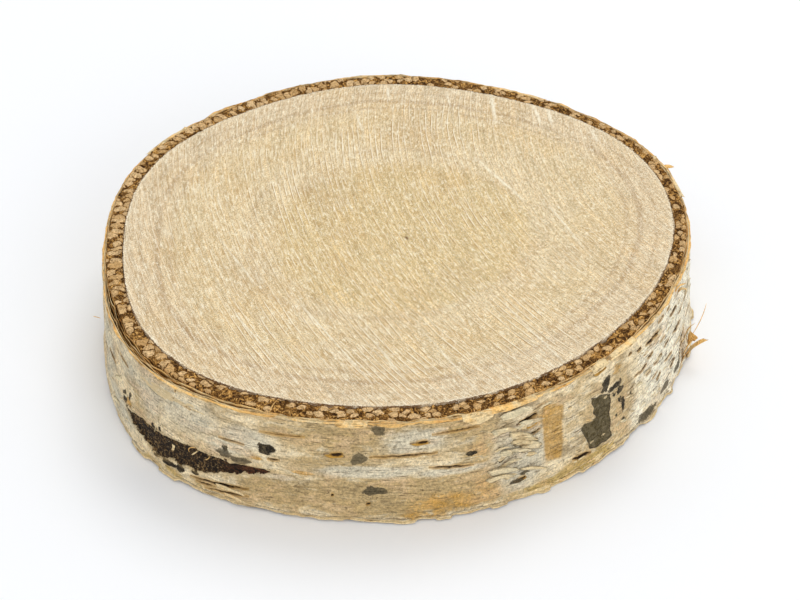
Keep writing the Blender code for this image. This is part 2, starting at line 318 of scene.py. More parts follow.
# Where the bark's colour changes, and where it is ragged: arc, height, half length, half height and
# strength of each oval.
AREAS = {
    "tan": (
        (2, 5.4, 27, 5.6, 1), (-17, 5.5, 12, 4.6, 0.8), (0, 18.6, 26, 4.6, 0.85), (-9, 12.6, 9, 3.6, 0.8),
        (15, 14.5, 6.5, 8, 0.55), (-29, 19.6, 3, 3.4, 0.5), (37.5, 11, 6, 13, 0.45),
        (48.6, 9.5, 4.6, 10, 0.55), (60.5, 16.4, 2.4, 2.2, 0.5), (-46.5, 12, 3, 4, 0.5),
        (112, 8, 16, 6, 0.9), (-135, 6, 18, 5, 0.9), (168, 15, 9, 5, 0.8), (-172, 5, 12, 5, 0.8),
    ),
    "orange": (
        (-22.1, 11.7, 1.4, 0.55, 0.9), (-14.6, 10.1, 2.2, 0.5, 0.9), (9.5, 3.4, 9.5, 3, 0.62),
        (17, 4.6, 4, 4.6, 0.45), (15.6, 13, 2.6, 3.4, 0.45), (6.5, 1.4, 6, 1.5, 0.6),
        (28.6, 17, 4.4, 3, 0.5), (-51, 8.8, 1.6, 1.5, 0.95), (-43, 8.8, 1.2, 0.8, 0.5),
        (46.9, 17.4, 1.5, 2, 0.6), (-134, 4, 8, 3, 0.6), (104, 4, 8, 3, 0.6),
    ),
    "white": (
        (-3, 11, 11, 1.6, 1), (11, 10.2, 8, 1.1, 0.9), (-36, 15.6, 9, 5, 0.6), (-24, 15.2, 6, 2.8, 0.8),
        (-50, 17, 7, 4, 0.5), (-55, 5, 9, 4, 0.8), (4.5, 17.4, 7.6, 3, 0.85), (25, 8, 4, 4, 0.6),
        (20.5, 14, 2.6, 5, 0.6), (-28, 12.6, 5, 2.2, 0.8), (24, 10, 6.5, 9, 1), (-63, 11, 7, 9, 0.8),
        (-44, 15, 4, 6, 0.7), (-20, 8.4, 7, 1, 0.5),
    ),
    "grey": (
        (-29, 19.8, 4.6, 2.4, 0.55), (-19, 18.8, 3, 1.6, 0.4), (23.5, 6.6, 5.5, 2.6, 0.5),
        (22.5, 20.2, 6, 1.2, 0.9), (-50, 14.6, 3.4, 3.6, 0.7), (-58, 13, 2.2, 3.4, 0.8),
        (-66, 6, 3, 3, 0.7), (-55, 18.6, 3, 2.4, 0.5), (32.6, 6.6, 2.4, 1.8, 0.9), (24.4, 16, 3, 2, 0.35),
        (130, 18, 12, 3, 0.6), (-100, 17, 14, 3, 0.5),
    ),
    "cream": (
        (72, 11, 22, 14, 1), (36, 8, 2.2, 3.4, 0.7), (52.6, 4, 3.6, 4, 0.6), (100, 11, 18, 14, 0.7),
        (-90, 10, 20, 12, 0.6),
    ),
    "yellow": (
        (36, 1.2, 13.5, 2.1, 1), (24, 1.6, 5, 1.4, 0.5), (-38, 1.2, 16, 1.2, 0.4),
    ),
}
RAGGED_AREAS = (
    (23.5, 14, 5.6, 8.5, 1), (-44.5, 16, 7, 4, 0.35), (-62, 12, 9, 9, 0.4), (135, 12, 10, 8, 0.6),
)

# Greyish smudges on the sawn face: place in plan and radius.
SMUDGES = (
    (-14, 12, 9), (12, -16, 8), (22, 20, 10), (-27, -14, 8), (4, 34, 9), (35, -8, 7), (-6, -36, 9),
)

# Where the saw's marks are plainest: place in plan and radius.
KEEN_AREAS = (
    (2, -39, 15), (-22, -34, 14), (8, 34, 17), (-20, 10, 14), (24, -30, 12), (-8, 26, 12), (12, 4, 10),
)


def smooth_step(value, low, high):
    """Rises from 0 at low to 1 at high: three times the square of the share less twice its cube."""
    share = np.clip((value - low) / (high - low), 0, 1)
    return share * share * (3 - 2 * share)


def lattice(across, up, seed):
    """A repeatable number from 0 to 1 for each pair of whole numbers: the fraction of a large sine."""
    swung = np.sin(across * 12.9898 + up * 78.233 + seed * 37.719) * 43758.5453
    return swung - np.floor(swung)


def rough(across, up, seed, wrap):
    """Smooth noise from -1 to 1: random numbers on a square grid, eased from each to the next.

    It repeats after wrap squares across, so that it closes round the trunk.
    """
    left, low = np.floor(across), np.floor(up)
    ease_across = smooth_step(across - left, 0, 1)
    ease_up = smooth_step(up - low, 0, 1)
    near, far = left % wrap, (left + 1) % wrap
    below = lattice(near, low, seed) * (1 - ease_across) + lattice(far, low, seed) * ease_across
    above = lattice(near, low + 1, seed) * (1 - ease_across) + lattice(far, low + 1, seed) * ease_across
    return 2 * (below * (1 - ease_up) + above * ease_up) - 1


def layered(across, up, seed, wrap, layers=3):
    """A sum of noises, each twice as fine and half as strong as the last."""
    total = sum(
        rough(across * 2**step, up * 2**step, seed + step, wrap * 2**step) * 0.5**step
        for step in range(layers)
    )
    return total / (2 - 0.5 ** (layers - 1))


def round_trunk(turns, height, length, rise, seed, layers=3):
    """Layered noise on the bark, in patches of a length round the trunk and a rise up it, in mm."""
    wrap = max(2, round(GIRTH / length))
    return layered(turns * wrap, height / rise + seed, seed, wrap, layers)


def round_edge(turns, length, seed, layers=3, level=0.5):
    """Layered noise along an edge of the bark, in steps of a length round the trunk, in mm."""
    return round_trunk(turns, np.full(np.shape(turns), level), length, 1.0, seed, layers)


def lumps(across, up, seed, wrap):
    """Distances to the nearest and the next of points scattered one to a square, and its number."""
    column, row = np.floor(across), np.floor(up)
    near = np.full(np.shape(across), 9.0)
    second = np.full(np.shape(across), 9.0)
    number = np.zeros(np.shape(across))
    for right in (-1, 0, 1):
        for above in (-1, 0, 1):
            place = (column + right) % wrap
            x = column + right + 0.1 + 0.8 * lattice(place, row + above, seed)
            y = row + above + 0.1 + 0.8 * lattice(place, row + above, seed + 5)
            distance = np.hypot(across - x, up - y)
            closer = distance < near
            second = np.where(closer, near, np.minimum(second, distance))
            number = np.where(closer, lattice(place, row + above, seed + 9), number)
            near = np.where(closer, distance, near)
    return near, second, number


def waves(lobes, angle):
    """The sum of the lobes: each is its rise times the cosine of its count times the angle."""
    return sum(rise * np.cos(count * (angle - math.radians(crest))) for count, rise, crest in lobes)


def outline(angle, height):
    """Radius over the bark: a circle with lobes, wider towards the foot and most on one side."""
    widening = FLARE + LEAN * np.cos(angle - math.radians(LEAN_TOWARDS))
    return MEAN_RADIUS + waves(OUTLINE_LOBES, angle) + widening * (1 - height / WOOD_TOP)


def wood_edge(angle, height):
    """Radius of the wood: the outline less the depth of both layers of bark."""
    return outline(angle, height) - BARK_DEPTH - waves(BARK_LOBES, angle)


def cut_edge(angle):
    """How far the cut edge of the wood stands out: noise in steps of 1.3 mm and 0.5 mm round it."""
    turns = (angle / FULL_TURN) % 1
    zero = np.zeros(np.shape(turns))
    return 0.13 * rough(turns * 250, zero + 0.5, 171, 250) + 0.08 * rough(turns * 690, zero + 0.5, 173, 690)


def turns_of(angle):
    """The way round the trunk from the middle of the front, from 0 to 1."""
    return ((angle + math.pi / 2) / FULL_TURN) % 1


def arc_of(angle):
    """Distance along the outline from the middle of the front, positive to the right."""
    turn = (angle + math.pi / 2) % FULL_TURN
    return np.where(turn <= math.pi, turn, turn - FULL_TURN) * MEAN_RADIUS


def close_to(arc, middle, reach, full=0.4):
    """1 near a place along the outline, easing to 0 at a reach from it."""
    return smooth_step(-np.abs(arc - middle) / reach, -1, -full)


def polar(angle, radius, height):
    """Points at an angle, a radius and a height."""
    return np.stack(np.broadcast_arrays(radius * np.cos(angle), radius * np.sin(angle), height), axis=-1)


def ovals(arc, height, places):
    """Greatest strength of the ovals here: full near the middle, and eased away to a little outside."""
    value = np.zeros(np.shape(arc))
    for middle, level, half_length, half_height, strength in places:
        away = np.hypot((arc - middle) / half_length, (height - level) / half_height)
        value = np.maximum(value, strength * smooth_step(-away, -1.3, -0.3))
    return value


def inside_slits(arc, height, places):
    """How far a point lies inside the nearest slit: its half width there less the way off its line.

    A slit is a lens: its half width falls with the square of the way along it.
    """
    depth = np.full(np.shape(arc), OUTSIDE)
    for middle, level, half_length, half_width, slope in places:
        along = arc - middle
        off = np.abs(height - level - slope * along - 0.25 * half_width * np.sin(along * 2.3))
        width = half_width * (1 - (along / half_length) ** 2)
        depth = np.maximum(depth, np.where(np.abs(along) < half_length, width - off, OUTSIDE))
    return depth


def inside_spots(arc, height, places):
    """How far a point lies inside the nearest spot, in mm, and that spot's own darkness.

    A spot is an oval whose radius swings by the sines of two, three and five times the direction.
    """
    depth = np.full(np.shape(arc), OUTSIDE)
    darkness = np.zeros(np.shape(arc))
    for middle, level, half_length, half_height, dark in places:
        across, up = (arc - middle) / half_length, (height - level) / half_height
        aim = np.arctan2(up, across)
        swing = 1 + 0.13 * np.sin(2 * aim + 9 * level) + 0.11 * np.sin(3 * aim + 7 * middle)
        swing = swing + 0.07 * np.sin(5 * aim + 5 * level)
        here = (1 - np.hypot(across, up) / swing) * min(half_length, half_height)
        darkness = np.where(here > depth, dark, darkness)
        depth = np.maximum(depth, here)
    return depth, darkness


def inside_shape(arc, height, corners):
    """How far a point lies inside a shape with straight sides, in mm, and less than 0 outside it.

    That is the distance to the nearest side. A point is inside where a line from it along the bark
    crosses an odd number of sides.
    """
    nearest = np.full(np.shape(arc), 99.0)
    crossings = np.zeros(np.shape(arc))
    for (start, low), (finish, high) in zip(corners, corners[1:] + corners[:1]):
        run, rise = finish - start, high - low
        share = np.clip(((arc - start) * run + (height - low) * rise) / (run**2 + rise**2), 0, 1)
        nearest = np.minimum(nearest, np.hypot(arc - start - share * run, height - low - share * rise))
        between = (low > height) != (high > height)
        crossings = crossings + (between & (arc < start + run * (height - low) / (rise or 1e-9)))
    return np.where(crossings % 2 == 1, nearest, -nearest)


def weave(name, points, fields=None, closed_rows=True, closed_columns=True, weld=False):
    """Joins a grid of points, in mm, into a mesh of four-sided faces.

    Columns run round the piece or along it, and rows run over its section, so that the faces point
    outwards. A stack of grids makes a mesh of several shells. Fields become attributes.
    """
    grids = points.reshape((-1,) + points.shape[-3:])
    count, rows, columns = grids.shape[:3]
    number = np.arange(count * rows * columns).reshape(count, rows, columns)
    lower = number if closed_rows else number[:, :-1]
    upper = np.roll(number, -1, axis=1) if closed_rows else number[:, 1:]
    if closed_columns:
        corners = (lower, np.roll(lower, -1, axis=2), np.roll(upper, -1, axis=2), upper)
    else:
        corners = (lower[:, :, :-1], lower[:, :, 1:], upper[:, :, 1:], upper[:, :, :-1])
    faces = np.stack(corners, axis=-1).reshape(-1, 4)
    mesh = bpy.data.meshes.new(name)
    mesh.vertices.add(number.size)
    mesh.vertices.foreach_set("co", (grids * MM).astype(np.float32).ravel())
    mesh.loops.add(faces.size)
    mesh.loops.foreach_set("vertex_index", faces.astype(np.int32).ravel())
    mesh.polygons.add(len(faces))
    mesh.polygons.foreach_set("loop_start", np.arange(0, faces.size, 4, dtype=np.int32))
    mesh.update(calc_edges=True)
    mesh.shade_smooth()
    for field, values in (fields or {}).items():
        kind = "FLOAT_VECTOR" if np.ndim(values) > points.ndim - 1 else "FLOAT"
        attribute = mesh.attributes.new(field, kind, "POINT")
        flat = np.asarray(values, np.float32).ravel()
        attribute.data.foreach_set("vector" if kind == "FLOAT_VECTOR" else "value", flat)
    if weld:
        shape = bmesh.new()
        shape.from_mesh(mesh)
        bmesh.ops.remove_doubles(shape, verts=shape.verts, dist=WELD_REACH * MM)
        bmesh.ops.recalc_face_normals(shape, faces=shape.faces)
        shape.to_mesh(mesh)
        shape.free()
    mesh.validate()
    made = bpy.data.objects.new(name, mesh)
    bpy.context.scene.collection.objects.link(made)
    return made


def settle(piece, slot, finish, *nodes):
    """Gives a piece its finish and its place on the body, and hides the solids that it stands for."""
    piece.data.materials.append(finish)
    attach(piece, BODY)
    if nodes:
        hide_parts(*nodes)


class Signal:
    """A shader socket that sums and products can be written with: each adds its Math node."""

    def __init__(self, tree, socket):
        self.tree = tree
        self.socket = socket

    def joined(self, operation, *others):
        """A Math node of this signal and the others."""
        return self.tree.node("Math", {"operation": operation}, dict(enumerate((self, *others))))

    def __add__(self, other):
        return self.joined("ADD", other)

    def __sub__(self, other):
        return self.joined("SUBTRACT", other)

    def __mul__(self, other):
        return self.joined("MULTIPLY", other)

    def __rsub__(self, other):
        return (self * -1.0).joined("ADD", other)

    __radd__ = __add__
    __rmul__ = __mul__

    def distance_from(self, middle):
        """How far the signal is from a middle value, to either side."""
        return (self - middle).joined("ABSOLUTE")

    def swing(self, gain):
        """Noise about 0.5 made to swing about 0, by a gain."""
        return (self - 0.5) * gain

    def ramp(self, low, high):
        """Rises smoothly from 0 at low to 1 at high, or falls where low is the greater."""
        inputs = {"Value": self, "From Min": low, "From Max": high}
        return self.tree.node("MapRange", {"interpolation_type": "SMOOTHSTEP"}, inputs)


class Finish:
    """A material whose nodes are written as expressions."""

    def __init__(self, name):
        self.material = bpy.data.materials.new(name)
        self.material.use_nodes = True
        self.nodes = self.material.node_tree.nodes
        self.links = self.material.node_tree.links
        self.shader = self.nodes["Principled BSDF"]
        self.place = self.node("TexCoord", {}, {}, "Object")

    def node(self, kind, settings, inputs, output=0):
        """Adds a node, sets its settings and then its sockets, and gives back one output."""
        made = self.nodes.new("ShaderNode" + kind)
        for setting, value in settings.items():
            setattr(made, setting, value)
        for socket, value in inputs.items():
            self.feed(made.inputs[socket], value)
        return Signal(self, made.outputs[output])

    def feed(self, socket, value):
        """Joins a signal to a socket, or sets the socket's value."""
        if isinstance(value, Signal):
            self.links.new(value.socket, socket)
        elif hasattr(value, "__len__") and socket.type == "RGBA":
            socket.default_value = (*value[:3], 1.0)
        else:
            socket.default_value = value

    def field(self, name, output="Fac"):
        """A number or vector that the mesh carries at its points."""
        return self.node("Attribute", {"attribute_name": name}, {}, output)

    def stretched(self, scale, place=None, shift=(0, 0, 0)):
        """The place, stretched by a scale along each axis and moved by a shift in metres."""
        inputs = {"Vector": place or self.place, "Scale": scale, "Location": shift}
        return self.node("Mapping", {"vector_type": "POINT"}, inputs)

    def noise(self, size, detail=2.0, roughness=0.5, distortion=0.0, place=None):
        """Noise from 0 to 1 with features of a size in mm."""
        inputs = {
            "Vector": place or self.place,
            "Scale": MM_PER_M / size,
            "Detail": detail,
            "Roughness": roughness,
            "Distortion": distortion,
        }
        return self.node("TexNoise", {}, inputs, "Fac")

    def mix(self, share, first, second):
        """A colour part of the way from the first to the second."""
        return self.node("Mix", {"data_type": "RGBA"}, {0: share, 6: first, 7: second}, 2)

    def laid(self, colour, *layers):
        """A colour with layers mixed over it in turn, each a share and a colour."""
        for share, layer in layers:
            colour = self.mix(share, colour, layer)
        return colour

    def brighten(self, colour, amount):
        """A colour with each channel multiplied by one amount."""
        tinted = self.node("CombineColor", {}, {0: amount, 1: amount, 2: amount})
        settings = {"data_type": "RGBA", "blend_type": "MULTIPLY"}
        return self.node("Mix", settings, {0: 1.0, 6: colour, 7: tinted}, 2)

    def finish(self, colour, roughness, relief, relief_depth, strength=1.0):
        """Joins the colour, the roughness and the relief, whose full depth is in mm."""
        self.feed(self.shader.inputs["Base Color"], colour)
        self.feed(self.shader.inputs["Roughness"], roughness)
        self.shader.inputs["Specular IOR Level"].default_value = SHINE
        inputs = {"Height": relief, "Distance": relief_depth * MM, "Strength": strength}
        bump = self.node("Bump", {}, inputs, "Normal")
        self.feed(self.shader.inputs["Normal"], bump)
        return self.material


def bark_swell(angle, height):
    """The bark's broad swells, in mm: layered noise in patches of 14 x 9 mm, calmer near the rims.

    One more swell, of 0.7 mm, lies at the right foot under the curl. Within 1.8 mm of the rim the
    bark also leans out or in by noise 7 mm long, and out by up to 0.35 mm more to the left and the
    right of the front, where it is peeling. Within 1 mm of the foot it leans by noise 9 mm and
    2.6 mm long, and by chips of 0.55 mm where noise 6.5 mm long is above 0.1.
    """
    turns = turns_of(angle)
    arc = arc_of(angle)
    calm = 0.3 + 0.7 * smooth_step(np.minimum(BARK_TOP - height, height - BARK_FOOT), 0, 3)
    swell = SWELL_RISE * calm * round_trunk(turns, height, 14, 9, 3, 2)
    from_curl = np.hypot((arc - CURL_PLACE[0]) / 4.5, (height - CURL_PLACE[1]) / 4.0)
    swell = swell + CURL_SWELL * smooth_step(-from_curl, -1, 0)
    open_rim = 0.20 * round_edge(turns, 7, 5) + 0.10
    open_rim = open_rim + 0.35 * close_to(arc, -44, 26) + 0.30 * close_to(arc, 48, 22)
    swell = swell + open_rim * smooth_step(height, BARK_TOP - 1.8, BARK_TOP + 0.3)
    chips = 0.55 * smooth_step(round_edge(turns, 6.5, 15, 2), 0.08, 0.2) - 0.15
    open_foot = 0.22 * round_edge(turns, 9, 9) + 0.16 * round_edge(turns, 2.6, 13, 2) + chips
    return swell + open_foot * smooth_step(-height, -BARK_FOOT - 1.0, -BARK_FOOT + 0.2)


def bark_face(angle, height):
    """How far the bark stands out from its outline, in mm, and the fields that its finish reads.

    The relief is the swells, plus fibres of 2.3 x 0.6 mm, plus terraces: noise in patches of
    15 x 1.6 mm cut into steps of 0.06 mm, as sheets of paper end on it, plus bulges 5.4 mm high up
    the left side. Slits, the scar, the windows and the patch are sunk by a share of their depth that
    rises with the way inside them. Spots and the lips of gaping slits stand out in the same way.
    """
    turns = turns_of(angle)
    arc = arc_of(angle)
    shake = round_trunk(turns, height, 1.4, 0.9, 41)
    threads = round_trunk(turns, height, 2.3, 0.6, 11)
    level = 5 + 3.4 * round_trunk(turns, height, 15.0, 1.6, 21)
    within = level - np.floor(level)
    ragged = ovals(arc, height, RAGGED_AREAS)
    relief = PAPER_STEP * (np.floor(level) + smooth_step(within, 0.8, 1.0) - 5)
    bent = height + 1.2 * round_trunk(turns, height, 9.0, 9.0, 45, 1)
    relief += BULGE_RISE * close_to(arc, -84, 16) * (np.abs(np.sin(math.pi * bent / BULGE_HIGH)) - 0.5)
    relief += (0.08 + 0.26 * ragged) * threads + 0.25 * ragged * round_trunk(turns, height, 5.0, 1.3, 31)

    throats = [
        (at + 0.2 * long, up + 0.3 * half, 0.62 * long, 0.42 * half, 0.0) for at, up, long, half in MOUTHS
    ]
    lips = [(at, up - 0.1 * half, long, 0.8 * half, 0.0) for at, up, long, half in MOUTHS]
    slit = np.maximum(inside_slits(arc, height, SLITS), inside_slits(arc, height, throats))
    lip = inside_slits(arc, height, lips)
    spot, darkness = inside_spots(arc, height, SPOTS)
    patch = inside_shape(arc, height, PATCH) + 0.12 * shake
    window = np.maximum(inside_shape(arc, height, WINDOW), inside_shape(arc, height, BACK_WINDOW))
    scar = inside_shape(arc, height, SCAR) + 0.50 * shake + 0.20 * threads
    relief += LIP_RISE * smooth_step(lip, -0.35, 0.15) + SLIT_RISE * smooth_step(slit, -0.6, -0.1)
    relief -= SLIT_DEEP * smooth_step(slit, -0.06, 0.16)
    relief += SPOT_RISE * smooth_step(spot, -0.2, 0.2) - WINDOW_DEEP * smooth_step(window, -0.1, 0.2)
    relief += (0.09 * shake - PATCH_DEEP) * smooth_step(patch, -0.1, 0.3)
    sunk = smooth_step(scar, -0.12, 0.4)
    relief = relief * (1 - 0.7 * sunk) + sunk * (0.20 * threads + 0.12 * shake - SCAR_DEEP)
    fields = {
        "ragged": ragged,
        "slit": slit,
        "lip": lip,
        "spot": spot,
        "darkness": darkness,
        "patch": patch,
        "window": window,
        "scar": scar,
        "scar_red": smooth_step(arc, -29.5, -26.5),
    }
    fields.update((name, ovals(arc, height, places)) for name, places in AREAS.items())
    fields = {name: np.broadcast_to(field, np.shape(relief)) for name, field in fields.items()}
    return bark_swell(angle, height) + relief, fields


def torn_edges(angle, seed, height):
    """How far a torn edge rises and falls round the trunk: noise 6 mm long plus some 1.3 mm long."""
    turns = turns_of(angle)
    return height * (round_edge(turns, 6.0, seed, 2) + 0.4 * round_edge(turns, 1.3, seed + 7, 2))


def rim_height(angle):
    """The height of the bark's torn upper edge."""
    return BARK_TOP + torn_edges(angle, RIM_SEED, RIM_TEAR)


def foot_height(angle):
    """The height of the bark's torn lower edge."""
    return BARK_FOOT + torn_edges(angle, FOOT_SEED, FOOT_TEAR)


def front_dense(columns):
    """Angles round the trunk, closer together at the front: a turn less a share of its sine."""
    turn = FULL_TURN * np.arange(columns) / columns
    return turn - 0.35 * np.sin(turn) - math.pi / 2


def outer_bark_skin(columns, rows):
    """The bark's outer skin: a closed ring whose section runs up the face, over the rim and back.

    The face is the outline plus bark_face. The back lies 0.12 mm behind it, or 0.32 mm behind the
    swells where that is deeper, and 0.72 mm further in behind the scar. The rim and the foot are
    rounded from one to the other.
    """
    angle = front_dense(columns)[None, :]
    top, foot = rim_height(angle), foot_height(angle)
    share = np.linspace(0, 1, rows)[:, None]
    height = foot + (top - foot) * share
    relief, fields = bark_face(angle, height)
    front = outline(angle, height) + relief
    back_height = foot + (top - foot) * np.array(BACK_SHARES)[:, None]
    back_relief, back_fields = bark_face(angle, back_height)
    middle = 0.5 * (SCAR[0][0] + SCAR[13][0])
    by_scar = close_to(arc_of(angle), middle, 20, 0.86)
    by_scar = by_scar * smooth_step(back_height, 1.7, 2.4) * smooth_step(-back_height, -12.5, -11.5)
    back = outline(angle, back_height) + np.minimum(
        back_relief - SKIN_THICK, bark_swell(angle, back_height) - SKIN_DEEP - SCAR_BACK * by_scar
    )
    rim = 0.5 * (front[-1:] + back[:1])
    base = 0.5 * (front[:1] + back[-1:])
    radius = np.concatenate([front, rim, back, base])
    heights = np.concatenate([height, top + SKIN_CROWN, back_height, foot - SKIN_CROWN])
    edge = np.concatenate([np.minimum(top - height, height - foot), 0 * rim, 0 * back, 0 * base])
    values = {
        name: np.concatenate([field, field[-1:], back_fields[name], field[:1]])
        for name, field in fields.items()
    }
    values["edge"] = edge
    return polar(angle, radius, heights), values


def paper_depth(angle):
    """How far behind the outline the papers end at the rim: 0.5 mm, and 1.4 mm where they open.

    They open at the front left. Noise of 3.4 mm moves the line by up to 0.25 mm.
    """
    turns = turns_of(angle)
    opened = close_to(arc_of(angle), -47, 26, 0.5)
    moved = 0.25 * round_edge(turns, 3.4, 37)
    least = LEAST_PAPERS - bark_swell(angle, BARK_TOP + 0 * turns)
    return np.maximum(PAPERS_SHUT + PAPERS_OPEN * opened + moved, least)


def paper_layers(columns):
    """Thin sheets between the skin and the inner bark: closed rings 0.06 to 0.12 mm thick.

    The upper ones lie at set shares of the depth between the two, plus noise 3.4 mm long of 0.2 mm,
    and more where they open, by which they part and meet. Each ends at its own torn edge. The lower
    ones lie behind the skin's foot. The field "sunk" is the way in mm behind a sheet's tip, by which
    the finish paints shade in the gaps between the sheets.
    """
    angle = FULL_TURN * np.arange(columns)[None, :] / columns
    turns = turns_of(angle)
    grids, warmth, behind_tip = [], [], []
    deepest = paper_depth(angle)
    section = ((1, 1.0), (1, 0.5), (1, 0.06), (0, 0.0), (-1, 0.06), (-1, 0.5), (-1, 1.0), (0, 1.02))
    for number, (share_in, rise, warm) in enumerate(PAPER_SHEETS):
        for upper in (True, False) if number < 2 else (True,):
            seed = 71 + 5 * number + (2 if upper else 0)
            wander = (0.18 + 0.30 * (deepest - PAPERS_SHUT)) * round_edge(turns, 3.4, seed, level=2.5)
            torn = torn_edges(angle, seed + 20, 0.60)
            edge = BARK_TOP + rise + torn if upper else BARK_FOOT - 0.1 + 0.6 * torn
            inward = -UPPER_SHEET if upper else LOWER_SHEET
            thick = 0.045 + 0.015 * np.sin(angle * 23 + number)
            path = section if upper else section[::-1]
            rows = []
            for side, share in path:
                height = edge + inward * share
                swell = bark_swell(angle, height)
                outermost = 0.30 - swell
                behind = outermost + (deepest - outermost) * share_in + wander * (1 - share)
                if not upper:
                    behind = 0.40 + 0.2 * number - swell + wander * (1 - share)
                rows.append(polar(angle, outline(angle, height) - behind + side * thick, height)[0])
            grids.append(np.stack(rows))
            tone_here = warm + 0.35 * round_edge(turns, 8.0, seed + 3, level=2.5)
            warmth.append(np.repeat(tone_here, len(path), axis=0))
            way = np.array([share for _, share in path])[:, None]
            behind_tip.append(way * abs(inward) + 0 * tone_here)
    return np.stack(grids), {"warm": np.stack(warmth), "sunk": np.stack(behind_tip)}


def rim_sheets(columns):
    """Paper that laps over the rim and hangs down outside it, and the same at the foot, all round.

    A section rises behind the skin, turns over it and hangs by a length that noise of 9 mm and
    2 mm sets, from nothing to about 1 mm, and stands off the skin by noise of 3.4 mm. Each is a
    closed ring: the path and its way back. A lap's row is its edge, the way that it hangs, how far
    it stands off, its least hang and that noise's reach, its seed and its colour.
    """
    angle = front_dense(columns)[None, :]
    turns = turns_of(angle)
    grids, warmth = [], []
    laps = (
        (rim_height(angle), -1, 0.08, 0.10, 0.62, 201, 0.72),
        (foot_height(angle), 1, 0.02, -0.25, 0.30, 221, 0.05),
    )
    path = ((-0.20, 0.7), (-0.18, 0.3), (-0.16, 0.0), (-0.08, -0.12), (0.0, 0.0), (0.06, 0.5), (0.08, 1.0))
    for base, inward, stand, least, spread, seed, warm in laps:
        hang = least + spread * round_edge(turns, 9.0, seed, 2) + 0.25 * round_edge(turns, 2.0, seed + 2)
        hang = np.maximum(hang, -0.25)
        lean = stand + 0.42 * round_edge(turns, 3.4, seed + 5) + 0.12 * np.maximum(hang, 0)
        rows = []
        for out, down in path:
            height = base + inward * (down * hang if out >= 0 else down)
            near = outline(angle, height) + bark_swell(angle, height)
            height = np.maximum(height, LOWEST_LAP)
            rows.append((near + out + smooth_step(out, -0.2, 0.0) * lean, height + 0 * near))
        back = []
        for (radius, height), (out, down) in zip(rows[::-1], path[::-1]):
            lift = 0.6 * SHEET_THICK if down < 0 else 0.0
            back.append((radius + SHEET_THICK * (1 if out < -0.1 else -1), height + inward * lift))
        sections = [polar(angle, radius, height)[0] for radius, height in rows + back]
        grid = np.stack(sections)
        grids.append(grid[::-1] if inward < 0 else grid)
        tone_here = warm + 0.45 * round_edge(turns, 7.0, seed + 8)
        warmth.append(np.repeat(tone_here, len(sections), axis=0))
    return np.stack(grids), {"warm": np.stack(warmth)}


def sheet_shell(middle, thickness):
    """A closed shell round a sheet: the sheet moved each way along its normal, its edges drawn in.

    The normal is the cross product of the sheet's two directions, made one long.
    """
    rows, columns = middle.shape[:2]
    across = np.sin(np.linspace(0, math.pi, columns)) ** 0.35
    along = np.sin(np.linspace(0, math.pi, rows)) ** 0.35
    half = (0.5 * thickness * along[:, None] * across[None, :])[..., None]
    normal = np.cross(np.gradient(middle, axis=1), np.gradient(middle, axis=0))
    normal /= np.maximum(np.linalg.norm(normal, axis=-1, keepdims=True), 1e-9)
    return np.concatenate([middle + normal * half, (middle - normal * half)[:, ::-1]], axis=1)


def rim_strip(start, finish, hang, seed):
    """A strip of paper over the rim: it rises from behind the skin, turns over it and hangs down.

    Its free edge is torn: the hang is scaled by noise along it, and falls to nothing at both ends.
    """
    share = np.linspace(0, 1, STRIP_POINTS[0])[None, :]
    fold = np.linspace(0, 1, STRIP_POINTS[1])[:, None]
    arc = start + (finish - start) * share
    angle = arc / MEAN_RADIUS - math.pi / 2
    turns = (arc / GIRTH) % 1
    torn = 0.72 + 0.45 * round_edge(turns, 2.2, seed)
    drop = hang * torn * np.sin(np.pi * np.clip(share, 0.001, 0.999)) ** 0.4
    over = smooth_step(fold, 0.15, 0.5)
    rising, falling = np.clip(fold * 2, 0, 1), np.clip(fold * 2 - 1, 0, 1)
    height = rim_height(angle) + 0.16 * np.sin(np.pi * rising) - drop * falling
    radius = outline(angle, height) - 0.55 + over * (0.82 + 0.35 * falling)
    radius = radius + bark_swell(angle, height)
    return sheet_shell(polar(angle, radius, height), SHEET_THICK)


def bark_peel(peel, seed, rows, columns):
    """A scrap of paper that stands off the bark: a sheet on an arc of a circle, torn at its edges.

    Along it the sheet turns away from the bark at a steady rate, so it goes out by the length over
    the curl times one less the cosine, and on by the same times the sine. Across it is bent a little,
    and its width falls along it by the share that it is pointed.
    """
    arc, level, width, length, curl, heading, _, pointed = peel
    angle = arc / MEAN_RADIUS - math.pi / 2
    swell = bark_face(np.array([[angle]]), np.array([[level]]))[0][0, 0]
    root = polar(angle, outline(angle, level) + swell - 0.05, level)
    right = np.array([-math.sin(angle), math.cos(angle), 0])
    out = np.array([math.cos(angle), math.sin(angle), 0])
    up = np.array([0, 0, 1.0])
    turn = math.radians(heading)
    ahead = math.cos(turn) * right + math.sin(turn) * up
    aside = -math.sin(turn) * right + math.cos(turn) * up
    bend = math.radians(curl)
    share = np.linspace(0, 1, rows)[:, None]
    across = np.linspace(-1, 1, columns)[None, :]
    ragged = 1 + 0.09 * np.sin(across * 4 + seed) + 0.04 * np.sin(across * 11 + seed * 3)
    reach = share * (ragged * (1 - pointed) + pointed * (1 - 0.25 * across**2))
    taper = (1 - (0.25 + 0.7 * pointed) * share**1.3) * (1 + 0.14 * np.sin(share * 9 + seed))
    sideways = 0.5 * width * across * taper + 0.25 * width * np.sin(share * 3 + seed) * share
    onward = length / bend * np.sin(bend * reach)
    outward = length / bend * (1 - np.cos(bend * reach)) + 0.12 * width * (1 - across**2) * share
    middle = (
        root
        + onward[..., None] * ahead
        + (sideways + 0 * reach)[..., None] * aside
        + outward[..., None] * out
    )
    return sheet_shell(middle, PEEL_THICK)


